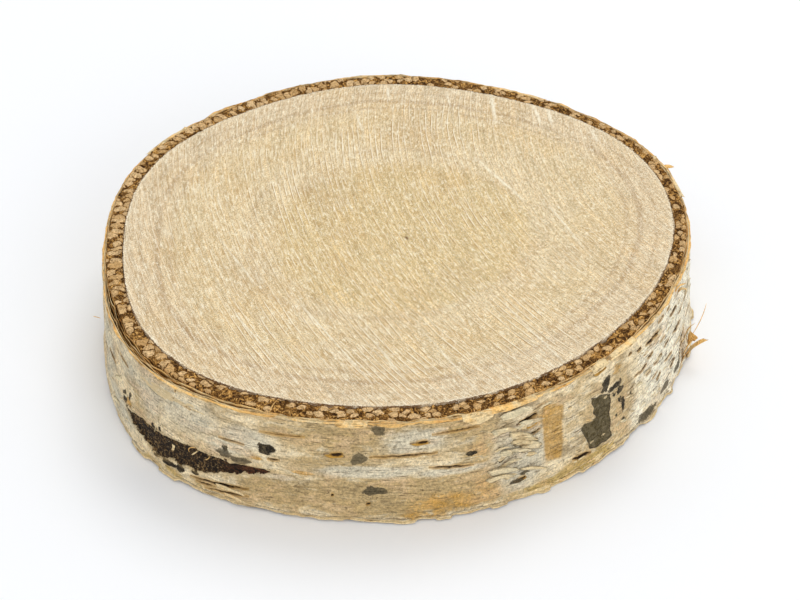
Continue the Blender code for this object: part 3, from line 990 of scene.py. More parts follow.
def scattered_flakes(group, seed):
    """The peels of a group: places, sizes and headings spread by repeatable numbers."""
    arc_from, arc_to, low, high, count, width, length, curl, heading, spread, warm = group
    rank = np.arange(count)
    shares = [lattice(rank, turn, seed) for turn in range(8)]
    return np.stack(
        [
            arc_from + (arc_to - arc_from) * (rank + shares[0]) / count,
            low + (high - low) * shares[1],
            width * (0.45 + 1.1 * shares[2] ** 1.5),
            length * (0.5 + shares[3]),
            curl * (0.5 + shares[4]),
            heading + spread * (2 * shares[5] - 1),
            warm + 0.4 * (shares[6] - 0.5),
            0.6 * shares[7] ** 2,
        ],
        axis=1,
    )


def loose_fibre(points, sides=7, steps=40):
    """A fibre: a tube of 0.08 mm along a smooth curve through points of angle, radius and height.

    The curve is the sum of the points, each weighted by its Bernstein polynomial, and the tube
    tapers to both ends.
    """
    angles, offsets, heights = (np.array(column) for column in zip(*points))
    angles = np.radians(angles)
    corners = polar(angles, outline(angles, heights) + offsets, heights)
    degree = len(points) - 1
    share = np.linspace(0, 1, steps)
    weights = [math.comb(degree, k) * share**k * (1 - share) ** (degree - k) for k in range(degree + 1)]
    line = sum(weight[:, None] * corner for weight, corner in zip(weights, corners))
    ahead = np.gradient(line, axis=0)
    ahead /= np.linalg.norm(ahead, axis=1, keepdims=True)
    side = np.cross(ahead, np.array([0.31, 0.22, 0.92]))
    side /= np.linalg.norm(side, axis=1, keepdims=True)
    upward = np.cross(ahead, side)
    round_tube = FULL_TURN * np.arange(sides) / sides
    thick = FIBRE_THICK * np.sin(np.pi * np.clip(share * 0.94 + 0.03, 0, 1)) ** 0.5
    thick[0] = thick[-1] = 0
    across, up = np.cos(round_tube)[None, :, None], np.sin(round_tube)[None, :, None]
    return line[:, None] + thick[:, None, None] * (across * side[:, None] + up * upward[:, None])


def inner_bark_ring(columns, lump_rise):
    """The torn ring of inner bark: flat-topped lumps scattered about 1.8 mm apart, in torn tissue.

    A lump is round, with a wavering edge, and rises steeply to a flat top. At the front half of the
    squares hold one, at the right a few more and at the left all, where one lump takes the ring's
    width. The tissue between them lies deeper, by noise in patches of 1.2 mm and 0.5 mm, with ridges
    halfway between the lumps.
    """
    angle = FULL_TURN * np.arange(columns)[None, :] / columns
    turns = turns_of(angle)
    side_heights = np.array([GRAIN_FOOT + 0.1, 5.0, 12.0, GRAIN_TOP - 1.4, GRAIN_TOP - 0.7])[:, None]
    depth = PAPER_DEPTH + (paper_depth(angle) - PAPER_DEPTH) * smooth_step(side_heights, 12, GRAIN_TOP - 1.4)
    outer_wall = outline(angle, side_heights) - depth
    inner_wall = wood_edge(angle, side_heights[::-1]) + WOOD_GAP
    share = np.linspace(0, 1, 34)[:, None]
    outer = outline(angle, GRAIN_TOP) - paper_depth(angle)
    inner = wood_edge(angle, GRAIN_TOP) + WOOD_GAP
    radius = outer + (inner - outer) * share
    depth_in = radius - inner
    warp = 0.30 * round_trunk(turns, depth_in, 1.3, 1.1, 81, 2)
    sway = 0.30 * round_trunk(turns, depth_in, 1.7, 1.3, 91, 2)
    left_side = smooth_step(-np.cos(angle + math.radians(20)), 0.1, 0.7)
    rise = 1.35 + 1.5 * left_side
    across = turns * LUMPS_ROUND + 0.9 * sway
    near, second, number = lumps(across, depth_in / rise + 0.9 * warp - 0.1, 17, LUMPS_ROUND)
    right_side = smooth_step(np.cos(angle - math.radians(-12)), 0.2, 0.8)
    keep = smooth_step(0.50 + 0.48 * left_side + 0.12 * right_side - number, -0.02, 0.02)
    tissue = 0.22 * round_trunk(turns, depth_in, 1.2, 0.9, 101)
    tissue = tissue + 0.14 * round_trunk(turns, depth_in, 0.5, 0.4, 111, 2)
    waver = round_trunk(turns, depth_in, 0.9, 0.7, 103, 2)
    size = 0.48 + 0.20 * (number * 13 % 1)
    rounded = size - near + 0.16 * waver
    lump = keep * smooth_step(np.minimum(rounded, 0.8 * (second - near)), 0.0, 0.14)
    flat = WOOD_TOP - LUMP_DEEP - 0.22 * (number * 7 % 1) - 0.25 * smooth_step(near / size, 0.4, 1.0)
    ridge = smooth_step(0.22 - (second - near), 0, 0.2)
    ridge = 0.40 * ridge * rough(turns * RIDGES_ROUND, depth_in, 19, RIDGES_ROUND)
    pits = WOOD_TOP - TISSUE_DEEP + 1.5 * tissue + ridge
    height = pits + (flat + 0.08 * tissue - pits) * lump * lump_rise
    height = np.minimum(height, WOOD_TOP + HIGHEST_CRUMB)
    height = height - 0.20 * (1 - smooth_step(share, 0, 0.05))
    foot_share = np.linspace(1, 0, 6)[:, None]
    foot = outline(angle, GRAIN_FOOT) - PAPER_DEPTH
    foot_inner = wood_edge(angle, GRAIN_FOOT) + WOOD_GAP
    under_radius = foot + (foot_inner - foot) * foot_share
    under_height = GRAIN_FOOT + 0.3 * round_trunk(turns, under_radius - foot, 1.2, 0.9, 121, 3)
    radii = np.concatenate([outer_wall, radius, inner_wall, under_radius])
    walls = side_heights + 0 * angle
    level = np.concatenate([walls, height, walls[::-1], under_height])
    pad = ((len(walls), len(walls) + len(under_height)), (0, 0))
    fields = {
        "lump": np.pad(lump, pad),
        "tint": np.pad(number * 5 % 1, pad, mode="edge"),
        # How far each point lies below the wood's face, and a set depth on the walls: the finish paints shade
        # by it.
        "shade_depth": np.pad(np.maximum(WOOD_TOP - 0.1 - height, 0), pad, constant_values=0.6),
    }
    return polar(angle, radii, level), fields


def near_line(place, start, finish, half_width):
    """Nearness to a line in plan: full on it, easing to 0 two half widths away, less at its ends."""
    start, finish = np.array(start), np.array(finish)
    run = finish - start
    share = np.clip(((place - start) @ run) / (run @ run), 0, 1)
    away = np.linalg.norm(place - (start + share[..., None] * run), axis=-1)
    return smooth_step(-away, -2 * half_width, -0.4 * half_width) * (0.4 + 0.6 * np.sin(np.pi * share))


def sawn_face(angle_from, angle_to, count, height):
    """Points from edge to edge of a sawn face along the saw's arcs, with their polar place round it.

    Each row runs between two points of the edge. Their distances from the saw's centre and their
    directions from it are blended evenly, so that the row is very nearly an arc about that centre.
    """
    centre = np.array(SAW_CENTRE)
    ends = [
        polar(angle, wood_edge(angle, height) + cut_edge(angle), height)[..., :2] - centre
        for angle in (angle_from, angle_to)
    ]
    far = [np.linalg.norm(end, axis=-1) for end in ends]
    aim = [np.arctan2(-end[..., 1], -end[..., 0]) for end in ends]
    share = np.linspace(0, 1, count)[None, :]
    share = share - 0.06 * np.sin(FULL_TURN * share)
    reach = far[0] + (far[1] - far[0]) * share
    turn = aim[0] + (aim[1] - aim[0]) * share
    place = centre - np.stack([np.cos(turn), np.sin(turn)], axis=-1) * reach[..., None]
    return place, reach, turn


def wood_disc(chords, top_points, foot_points, mark_depth):
    """The sawn disc: loops that each run over the top, down one side, under it and up the other.

    Saw marks are noise of the distance from the saw's centre, drawn out along the arcs. Burrs stand
    up along BURRS, and frayed fibres along the wood's edge. The loops are spaced by an arc cosine and
    shrink to a line at each end.
    """
    place = np.linspace(0, 1, chords)[:, None]
    turn = np.arccos(1 - 2 * place)
    start, finish = SAW_AHEAD - turn, SAW_AHEAD + turn
    top, reach, aim = sawn_face(start, finish, top_points, WOOD_TOP)
    under, under_reach, under_aim = sawn_face(finish, start, foot_points, 0.0)
    side = np.array([WOOD_TOP - WOOD_BEVEL, 14.0, 7.0, WOOD_BEVEL])[None, :]
    fade = smooth_step(side, WOOD_TOP - 3, WOOD_TOP)
    down = polar(finish, wood_edge(finish, side) + SIDE_GAP + fade * cut_edge(finish), side)
    side, fade = side[:, ::-1], fade[:, ::-1]
    rise = polar(start, wood_edge(start, side) + SIDE_GAP + fade * cut_edge(start), side)

    along = (aim - SAW_AHEAD) * SAW_REACH
    marks = 0.6 * rough(reach / 1.05, along / 24, 131, SAW_WRAP)
    marks = marks + 0.4 * rough(reach / 0.5, along / 9, 137, SAW_WRAP)
    burr = sum(near_line(top, *line) for line in BURRS)
    radius = np.linalg.norm(top, axis=-1)
    direction = np.arctan2(top[..., 1], top[..., 0])
    inset = wood_edge(direction, WOOD_TOP) - radius
    fray = smooth_step(0.9 - inset, 0, 0.9) * np.maximum(rough(direction * 60, reach / 2, 141, SAW_WRAP), 0)
    relief = mark_depth * (marks - 1) * smooth_step(inset, 0, 0.5) + BURR_RISE * burr + FRAY_RISE * fray
    height = WOOD_TOP - 0.05 + np.minimum(relief, HIGHEST_BURR)
    under_marks = rough(under_reach / 1.05, under_aim * 9, 151, SAW_WRAP)
    under_height = mark_depth * (1 + under_marks) * 0.5
    upper, lower = np.dstack([top, height]), np.dstack([under, under_height])
    points = np.concatenate([upper, down, lower, rise], axis=1)
    pith_radius = np.linalg.norm(top - np.array(PITH), axis=-1)
    ring = pith_radius / (pith_radius + inset + 0.001)
    saw = np.stack([reach, along, 0 * reach], axis=-1) * MM
    smudge, keen = (
        sum(smooth_step(-np.hypot(top[..., 0] - x, top[..., 1] - y) / size, -1, -0.3) for x, y, size in areas)
        for areas in (SMUDGES, KEEN_AREAS)
    )

    def with_underside(field):
        """Carries a field of the top on to the sides, and mirrors it on to the underside."""
        span = np.linspace(0, 1, foot_points)
        pick = np.round((1 - span) * (top_points - 1)).astype(int)
        last, first = field[:, -1:], field[:, :1]
        walls = side.size
        return np.concatenate([field, *[last] * walls, field[:, pick], *[first] * walls], axis=1)

    fields = {
        "ring": ring,
        "inset": np.maximum(inset, 0),
        "burr": np.minimum(burr + 0.8 * fray, 1),
        "saw": saw,
        "pass": reach * FULL_TURN / SAW_PITCH,
        "pith": smooth_step(-pith_radius, -0.75, -0.15),
        "smudge": np.minimum(smudge, 1),
        "keen": np.minimum(keen, 1),
    }
    return points, {name: with_underside(field) for name, field in fields.items()}


def wood_finish(colours):
    """Sawn birch: pale, with faint growth rings, arcs of saw marks and a grain of cut fibres, with painted
    highlight and shade beside the marks and fibres.
    """
    made = Finish("Sawn birch wood")
    ring = made.field("ring")
    inset = made.field("inset")
    burr = made.field("burr")
    saw = made.field("saw", "Vector")
    keen = made.field("keen")
    cloud = made.noise(13.0, 3.0)
    fine_cloud = made.noise(4.5, 3.0, 0.6)
    swirl = made.noise(7.0, 2.0, 0.5, 0.0, made.stretched((1, 1, 1), shift=(0.3, 0.7, 0)))
    lines = made.noise(1.0, 2.0, 0.5, 0.0, made.stretched((0.60, 0.045, 1.0), saw))
    fine_lines = made.noise(1.0, 2.0, 0.5, 0.0, made.stretched((1.7, 0.11, 1.0), saw))
    dashes = made.noise(1.0, 2.0, 0.6, 0.8, made.stretched((2.4, 0.75, 1.0), saw))
    worms = made.noise(1.0, 2.0, 0.55, 1.6, made.stretched((1.25, 0.62, 1.0), saw))
    threads = made.noise(0.75, 2.0, 0.5, 2.0)
    crumbs = made.noise(0.27, 2.0, 0.6, 0.8)
    # The curls less a copy moved 0.07 mm and 0.10 mm across: a painted emboss, with a highlight on one side
    # of each curl and painted shade on the other.
    curls = made.noise(0.26, 1.0, 0.5, 1.6)
    beyond = made.noise(0.26, 1.0, 0.5, 1.6, made.stretched((1, 1, 1), shift=(-0.07 * MM, 0.10 * MM, 0)))
    painted_emboss = curls - beyond
    slow = made.noise(1.0, 2.0, 0.5, 0.0, made.stretched((0.16, 0.05, 1.0), saw))
    phase = made.field("pass") + slow.swing(9.0) + fine_lines.swing(1.0)
    # A sine of the saw's passes marks each groove's painted shade, and the same sine shifted marks the
    # painted highlight beside it.
    cut, beside = phase.joined("SINE"), (phase + 1.1).joined("SINE")
    gate = (0.45 + keen * 0.55) * fine_cloud.ramp(0.34, 0.56) * lines.ramp(0.36, 0.54)

    heart = ring.ramp(0.50, 0.42)
    arc = ring.ramp(0.42, 0.50) * ring.ramp(0.68, 0.54)
    wander = inset + swirl.swing(1.3)
    bands = wander.distance_from(3.3).ramp(0.5, 0.1) * 0.7 + wander.distance_from(6.4).ramp(0.9, 0.2) * 1.0
    bands = bands + wander.distance_from(8.9).ramp(0.6, 0.1) * 0.7
    bands = bands + wander.distance_from(24.0).ramp(1.2, 0.2) * 0.4
    outer = inset.ramp(13.0, 4.0)
    colour = made.laid(
        colours.wood_sap,
        (heart * 0.9, colours.wood_heart),
        (arc * 0.45, colours.wood_pale),
        (outer * 0.75, colours.wood_grey),
        (bands * (0.35 + cloud.ramp(0.40, 0.56) * 0.45), colours.wood_band),
        (cloud.ramp(0.44, 0.66) * 0.40, colours.wood_warm),
        (swirl.ramp(0.54, 0.70) * 0.12, colours.wood_band),
        (made.field("smudge") * cloud.ramp(0.3, 0.5) * 0.25, colours.wood_band),
    )
    colour = made.brighten(colour, 0.995 + lines.swing(0.45) + fine_lines.swing(0.7) + dashes.swing(0.35))
    # Painted highlight and shade of the curls, as if lit from one side.
    colour = made.brighten(colour, 1.0 + painted_emboss * 2.3)

    fibre = dashes * 0.5 + crumbs * 0.5
    colour = made.mix(fibre.ramp(0.495, 0.41) * 0.45, colour, colours.wood_pore_and_shade)
    # Painted shade and painted highlight as thin lines side by side along the fibre worms and threads.
    painted_worm_shade = worms.distance_from(0.545).ramp(0.030, 0.004) + threads.distance_from(0.46).ramp(0.026, 0.004)
    colour = made.mix(painted_worm_shade * 0.26 * crumbs.ramp(0.36, 0.50), colour, colours.wood_pore_and_shade)
    painted_worm_highlight = worms.distance_from(0.50).ramp(0.028, 0.004) + threads.distance_from(0.50).ramp(0.024, 0.004)
    colour = made.mix(painted_worm_highlight * 0.34 * dashes.ramp(0.38, 0.54), colour, colours.wood_burr_and_highlight)
    flecks = dashes.ramp(0.56, 0.64) * crumbs.ramp(0.46, 0.54)
    # Painted shade in the saw's grooves and along thin lines, then painted highlight beside them, together
    # with the pale flecks.
    painted_groove_shade = cut.ramp(0.70, 1.0) * gate
    painted_line_shade = fine_lines.distance_from(0.56).ramp(0.030, 0.0) * swirl.ramp(0.60, 0.44)
    dark = (painted_groove_shade * 0.70 + painted_line_shade * 0.38).joined("MINIMUM", 1.0)
    colour = made.mix(dark, colour, colours.wood_pore_and_shade)
    painted_line_highlight = fine_lines.distance_from(0.5).ramp(0.030, 0.0) * swirl.ramp(0.58, 0.42)
    painted_groove_highlight = beside.ramp(0.76, 1.0) * gate
    flecks_and_painted_highlights = (flecks * 0.8 + painted_groove_highlight * 0.80 + painted_line_highlight * 0.42).joined("MINIMUM", 1.0)
    colour = made.mix(flecks_and_painted_highlights, colour, colours.wood_burr_and_highlight)
    broken = (crumbs + dashes).ramp(0.82, 1.10)
    colour = made.mix(burr * (0.35 + broken * 0.65), colour, colours.wood_burr_and_highlight)
    frayed = (inset + dashes.swing(5.0)).ramp(0.40, 0.0) * crumbs.ramp(0.44, 0.54)
    colour = made.mix(frayed * 0.6, colour, colours.wood_burr_and_highlight)
    colour = made.mix(made.field("pith").ramp(0.3, 1.0) * 0.9, colour, colours.tissue_dark_and_shade)
    # The thin brown line round the wood's edge: partly the rind's own brown, and partly painted shade of the
    # gap between the wood and the inner bark.
    rind_and_gap_shade = (inset + crumbs.swing(0.7)).ramp(0.17, 0.06) * (0.5 + fine_cloud.ramp(0.35, 0.55) * 0.5)
    colour = made.mix(rind_and_gap_shade * 0.92, colour, colours.wood_rind_and_gap_shade)
    relief = lines * 0.5 + dashes * 0.6 + worms * 0.6 + crumbs * 0.5 + (painted_groove_highlight - painted_groove_shade) * 0.15
    roughness = 0.62 + worms * 0.2
    return made.finish(colour, roughness, relief, 0.30, 0.7)


def grain_finish(colours):
    """Inner bark: hard pinkish lumps, cut flat, in torn brown tissue, with painted shade in its hollows and
    pits.
    """
    made = Finish("Torn inner bark")
    lump = made.field("lump")
    tint = made.field("tint")
    shade_depth = made.field("shade_depth")
    shreds = made.noise(1.5, 3.0, 0.60, 2.6)
    crumbs = made.noise(0.40, 3.0, 0.60, 1.0)
    cloud = made.noise(3.0, 2.0)
    tissue = made.laid(
        colours.tissue_dark_and_shade,
        (shreds.ramp(0.42, 0.56), colours.tissue),
        ((shreds + crumbs).ramp(1.06, 1.20), colours.tissue_orange),
        (cloud.ramp(0.52, 0.66) * 0.4, colours.tissue_dark_and_shade),
    )
    swirl = shreds.distance_from(0.49).ramp(0.030, 0.006)
    tissue = made.mix(swirl * 0.8, tissue, colours.tissue_lines_and_pit_shade)
    stone = made.laid(
        colours.lump_pink,
        (tint, colours.lump_tan),
        (crumbs.ramp(0.48, 0.34) * 0.6, colours.tissue),
        (shreds.ramp(0.46, 0.36) * 0.5, colours.tissue),
    )
    hard = (lump + shreds.swing(1.4) + crumbs.swing(0.6)).ramp(0.50, 0.66)
    colour = made.mix(hard, tissue, stone)
    # Painted shade in a ring round each lump's edge, where it rises from the tissue.
    edge = (lump + shreds.swing(1.4)).distance_from(0.42).ramp(0.22, 0.04)
    colour = made.mix(edge * 0.55, colour, colours.tissue_dark_and_shade)
    # Painted shade: darker the deeper the tissue lies below the wood's face.
    colour = made.mix(shade_depth.ramp(0.46, 1.05) * 0.85, colour, colours.tissue_lines_and_pit_shade)
    # Painted shade in small pits of the tissue.
    painted_pit_shade = (shreds + crumbs + lump * 0.25).ramp(0.92, 0.82)
    colour = made.mix(painted_pit_shade * 0.85, colour, colours.tissue_lines_and_pit_shade)
    colour = made.brighten(colour, 1.05 + crumbs.swing(2.4))
    relief = shreds * 1.1 + crumbs * 0.45
    return made.finish(colour, 0.85, relief, 0.55, 1.0)


def bark_finish(colours):
    """Papery bark: cream to grey skin in soft smears, tan where layers are gone, with dark slits."""
    made = Finish("Papery outer bark")
    cloud = made.noise(9.0, 3.0, 0.55, 0.3, made.stretched((1.0, 1.0, 1.8)))
    smear = made.noise(4.5, 4.0, 0.58, 0.6, made.stretched((1.0, 1.0, 2.4)))
    streaks = made.noise(3.6, 4.0, 0.66, 0.4, made.stretched((1.0, 1.0, 8.0)))
    dashes = made.noise(2.6, 2.0, 0.55, 0.3, made.stretched((1.0, 1.0, 13.0), shift=(0.1, 0.4, 0.2)))
    threads = made.noise(1.5, 3.0, 0.66, 0.6, made.stretched((1.0, 1.0, 3.2)))
    grain = made.noise(0.42, 3.0, 0.65, 0.5)
    mottle = made.noise(1.2, 4.0, 0.66, 0.8)
    ragged = made.field("ragged")
    wobble = mottle.swing(2.6) + grain.swing(0.9)
    drift = smear.swing(2.6)

    def area(name, low=0.25, high=0.6):
        """An area of the bark, with an edge that wanders along the smears."""
        return (made.field(name) + drift * 0.6 + wobble * 0.22).ramp(low, high)

    colour = made.laid(
        colours.bark_white,
        (cloud.ramp(0.41, 0.59), colours.bark_beige),
        (smear.ramp(0.50, 0.64) * 0.5, colours.bark_tan),
        (smear.ramp(0.46, 0.36) * 0.6, colours.bark_bloom),
        ((cloud + mottle).ramp(1.02, 1.20) * 0.35, colours.bark_grey),
        (area("cream", 0.1, 0.7) * 0.85, colours.bark_cream),
        (area("tan", 0.05, 0.75) * 0.88, colours.bark_tan),
        (area("grey", 0.3, 0.8) * 0.75, colours.bark_grey),
        (area("white", 0.05, 0.80) * 0.88, colours.bark_chalk),
        (area("orange", 0.15, 0.85) * 0.85, colours.bark_orange),
        (area("yellow", 0.2, 0.7) * 0.85, colours.bark_yellow),
    )
    opened = made.field("window") + wobble * 0.16
    bared = made.mix(mottle.ramp(0.50, 0.64) * 0.45, colours.bark_bared, colours.bark_tan)
    colour = made.mix(opened.ramp(-0.32, 0.40) * 0.85, colour, bared)
    rosy = cloud.swing(4.0).ramp(-0.2, 0.6) * smear.ramp(0.44, 0.54)
    colour = made.mix(rosy * 0.42, colour, colours.bark_pink)
    colour = made.brighten(colour, 1.0 + streaks.swing(0.55) + threads.swing(0.35) + cloud.swing(0.5))
    roughened = made.field("cream") * threads.swing(0.8)
    colour = made.brighten(colour, 0.98 + grain.swing(1.8) + mottle.swing(1.2) + roughened)
    bright = streaks.ramp(0.56, 0.66) * threads.ramp(0.48, 0.60)
    colour = made.mix(bright * 0.32, colour, colours.bark_bloom)
    dash = dashes.ramp(0.355, 0.330) * mottle.ramp(0.42, 0.52)
    colour = made.mix(dash * 0.6, colour, colours.slit_brown)
    soft_dash = dashes.ramp(0.41, 0.36) * threads.ramp(0.52, 0.44)
    colour = made.mix(soft_dash * 0.35, colour, colours.bark_shade)
    specks = grain.ramp(0.37, 0.30) * mottle.ramp(0.48, 0.40)
    colour = made.mix(specks * 0.85, colour, colours.slit_brown)
    torn = ragged + made.field("cream") * 0.2
    flecked = torn * threads.ramp(0.46, 0.37) * mottle.ramp(0.54, 0.44)
    colour = made.mix(flecked * 0.9, colour, colours.slit_brown)
    rift = made.field("cream") * dashes.ramp(0.425, 0.37) * threads.ramp(0.58, 0.48)
    colour = made.mix(rift * 0.8, colour, colours.slit_brown)

    lip = made.field("lip") + wobble * 0.16
    colour = made.laid(
        colour,
        (lip.ramp(-0.55, -0.02) * 0.55, colours.bark_tan),
        (lip.distance_from(-0.02).ramp(0.10, 0.02) * 0.75, colours.slit_brown),
        (lip.ramp(0.02, 0.14) * 0.95, colours.bark_orange),
    )
    slit = made.field("slit") + wobble * 0.12
    colour = made.laid(
        colour,
        (slit.ramp(-0.50, -0.04) * 0.55, colours.bark_orange),
        (slit.ramp(-0.14, 0.0) * 0.6, colours.slit_brown),
        (slit.ramp(-0.02, 0.08) * 0.95, colours.slit_dark),
    )

    spot = (made.field("spot") + wobble * 0.50).ramp(-0.02, 0.10)
    soot = made.mix((mottle * 0.6 + grain * 0.4).ramp(0.44, 0.62), colours.spot_black, colours.spot_grey)
    soot = made.mix(made.field("darkness"), colours.patch_pale, soot)
    soot = made.mix(made.field("scar").ramp(-2.6, -0.6) * 0.8, soot, colours.scar_black)
    soot = made.brighten(soot, 1.0 + grain.swing(1.6))
    colour = made.mix(spot * (0.78 + made.field("darkness") * 0.22), colour, soot)
    patch = made.field("patch") + wobble * 0.14
    bare = made.mix(mottle.ramp(0.40, 0.62), colours.patch_dark, colours.patch_pale)
    bare = made.brighten(bare, 0.95 + grain.swing(2.0))
    colour = made.mix(patch.distance_from(0.02).ramp(0.24, 0.06) * 0.9, colour, colours.spot_black)
    colour = made.mix(patch.ramp(0.04, 0.20), colour, bare)

    scar = made.field("scar") + wobble * 0.42
    wound = made.mix(mottle.ramp(0.42, 0.60), colours.scar_black, colours.scar_brown)
    wound = made.mix(grain.ramp(0.54, 0.64) * 0.55, wound, colours.scar_crumb)
    smooth = made.mix(streaks.ramp(0.40, 0.60), colours.scar_black, colours.scar_red)
    wound = made.mix(made.field("scar_red"), wound, smooth)
    wound = made.brighten(wound, 1.0 + grain.swing(1.6))
    colour = made.mix(scar.ramp(-0.9, 0.0) * 0.45, colour, colours.bark_tan)
    colour = made.mix(scar.ramp(-0.05, 0.12), colour, wound)
    crumbled = (made.field("scar") + mottle.swing(9.0)).ramp(0.25, 0.60) * grain.ramp(0.54, 0.46)
    colour = made.mix(crumbled * 0.85, colour, colours.scar_black)
    edge = made.field("edge") + wobble * 0.3
    # Painted shadow: a broken dark line on the skin just below the rim, as if cast by the paper lapping over
    # it.
    painted_shadow_under_rim = edge.distance_from(0.40).ramp(0.22, 0.05) * smear.ramp(0.54, 0.46)
    colour = made.mix(painted_shadow_under_rim * 0.55, colour, colours.slit_brown)
    colour = made.mix(edge.ramp(0.20, 0.04) * 0.85, colour, colours.paper_pale)
    relief = streaks * 0.6 + threads * 0.6 + grain * 0.55 + mottle * 0.7 + ragged * threads * 0.9
    relief = relief + dashes.ramp(0.34, 0.42) * 0.25
    roughness = 0.60 + streaks * 0.2
    return made.finish(colour, roughness, relief, 0.55, 0.9)


def paper_finish(colours):
    """The edges and undersides of the paper layers: grey-white to cream to orange, finely lined, with painted
    shade below the sheets' tips.
    """
    made = Finish("Paper layers")
    warm = made.field("warm")
    lines = made.noise(2.0, 3.0, 0.65, 0.3, made.stretched((1.0, 1.0, 9.0)))
    cloud = made.noise(2.4, 3.0, 0.6)
    grain = made.noise(0.34, 3.0, 0.6)
    shade = warm + cloud.swing(2.0)
    pale = made.mix(cloud.ramp(0.42, 0.60), colours.paper_grey, colours.bark_bloom)
    colour = made.laid(
        pale,
        (shade.ramp(-0.75, -0.1), colours.paper_pale),
        (cloud.ramp(0.50, 0.62) * warm.ramp(0.0, -0.6) * 0.6, colours.bark_grey),
        (shade.ramp(0.1, 0.75), colours.paper),
        (shade.ramp(0.7, 1.2) * 0.8, colours.paper_deep),
    )
    colour = made.brighten(colour, 1.0 + lines.swing(1.4) + grain.swing(1.2))
    dark = lines.ramp(0.46, 0.38) * cloud.ramp(0.44, 0.54)
    colour = made.mix(dark * 0.6, colour, colours.tissue_dark_and_shade)
    # Painted shade in the gaps below each sheet's tip, darker the further behind it.
    colour = made.mix(made.field("sunk").ramp(0.10, 0.55) * 0.9, colour, colours.tissue_dark_and_shade)
    relief = lines * 0.8 + grain * 0.5
    return made.finish(colour, 0.6, relief, 0.25, 0.9)


def seen(red, green, blue):
    """The linear colour of a screen colour given from 0 to 255."""
    channels = [value / 255 for value in (red, green, blue)]
    return tuple(c / 12.92 if c <= 0.04045 else ((c + 0.055) / 1.055) ** 2.4 for c in channels)


def tone(name, description, *screen):
    """A colour setting, given as a screen colour."""
    return FloatVectorProperty(
        name=name, description=description, default=seen(*screen), min=0, max=1, size=3, subtype="COLOR"
    )


class BirchColours(bpy.types.PropertyGroup):
    """The colours of the slice."""

    wood_sap: tone("Sapwood", "The broad pale part of the sawn face", 227, 205, 161)
    wood_pale: tone("Pale arc", "The lightest wood, outside the heart", 236, 217, 178)
    wood_heart: tone("Heart", "The slightly darker wood in the middle", 222, 198, 146)
    wood_grey: tone("Outer wood", "The greyer wood near the bark", 226, 206, 173)
    wood_band: tone("Ring bands", "The faint greyish growth rings", 188, 163, 130)
    wood_warm: tone("Warm cloud", "Broad warm clouds in the wood", 220, 190, 138)
    # Burrs also give the pale flecks and frayed fibres and the painted highlights beside the saw marks and
    # fibres. Pores also give the painted shade in the grooves.
    wood_burr_and_highlight: tone("Burrs", "Torn fibres that catch the light", 254, 245, 220)
    # The rind line is partly painted shade of the gap beside the inner bark.
    wood_rind_and_gap_shade: tone("Rind", "The thin brown line round the wood", 102, 64, 18)
    wood_pore_and_shade: tone("Pores", "Small dark pores and the pith", 180, 140, 86)
    tissue: tone("Inner bark", "The torn brown tissue of the inner bark", 182, 132, 66)
    # Also the painted shade round the lumps and in the gaps between the paper sheets, and the dark pith.
    tissue_dark_and_shade: tone("Dark tissue", "Its shaded parts", 106, 70, 28)
    tissue_orange: tone("Orange tissue", "Its brighter orange parts", 222, 176, 104)
    # Near black: the painted shade of the hollows and pits, and the thin dark lines in the tissue.
    tissue_lines_and_pit_shade: tone("Hollows", "The hollows between lumps", 38, 20, 8)
    lump_pink: tone("Pink lumps", "Hard lumps in the inner bark", 228, 194, 144)
    lump_tan: tone("Tan lumps", "The browner lumps", 206, 166, 110)
    bark_white: tone("White bark", "The lightest skin of the bark", 252, 231, 190)
    bark_beige: tone("Beige bark", "The skin between white and tan", 220, 196, 150)
    bark_grey: tone("Grey bark", "Olive-grey weathered skin", 164, 143, 108)
    bark_tan: tone("Tan bark", "Bark whose white skin has worn off", 188, 160, 109)
    bark_cream: tone("Cream bark", "Smooth cream bark at the right", 254, 247, 224)
    bark_bloom: tone("White bloom", "Chalky white bloom", 243, 228, 194)
    bark_chalk: tone("Grey-white bark", "The grey-white band of bloom", 219, 210, 185)
    bark_orange: tone("Orange bark", "Freshly bared orange layers", 204, 154, 66)
    bark_pink: tone("Pinkish bark", "Faint pinkish clouds", 222, 190, 150)
    bark_bared: tone("Bared bark", "The orange-tan layers in the straight-sided window", 198, 152, 72)
    bark_yellow: tone("Yellow strip", "The yellow layer along the foot", 196, 165, 90)
    bark_shade: tone("Shaded line", "Thin olive-brown lines", 128, 102, 66)
    slit_brown: tone("Brown marks", "Specks and scratches", 92, 66, 38)
    slit_dark: tone("Slits", "The dark of the slits", 44, 28, 14)
    spot_black: tone("Black spots", "The blackest mould on the spots", 34, 28, 18)
    spot_grey: tone("Grey spots", "The greyer mould", 92, 80, 58)
    patch_dark: tone("Bare patch", "The dark grey bare patch", 80, 68, 38)
    patch_pale: tone("Patch lights", "Its paler wrinkles", 118, 106, 78)
    scar_black: tone("Scar dark", "The darkest part of the scar", 30, 20, 12)
    scar_brown: tone("Scar brown", "The brown of the scar", 92, 68, 38)
    scar_red: tone("Scar red", "The redder tip of the scar", 96, 58, 34)
    scar_crumb: tone("Scar crumbs", "Pale crumbs in the scar", 150, 124, 84)
    paper: tone("Paper edge", "The orange edges of the paper layers", 236, 190, 116)
    paper_pale: tone("Pale paper", "Cream layers", 228, 204, 156)
    paper_grey: tone("Grey paper", "Weathered grey sheets", 214, 200, 164)
    paper_deep: tone("Deep paper", "The deepest orange layers", 206, 150, 82)
    floor: tone("Floor", "The pale floor under the slice", 249, 251, 254)


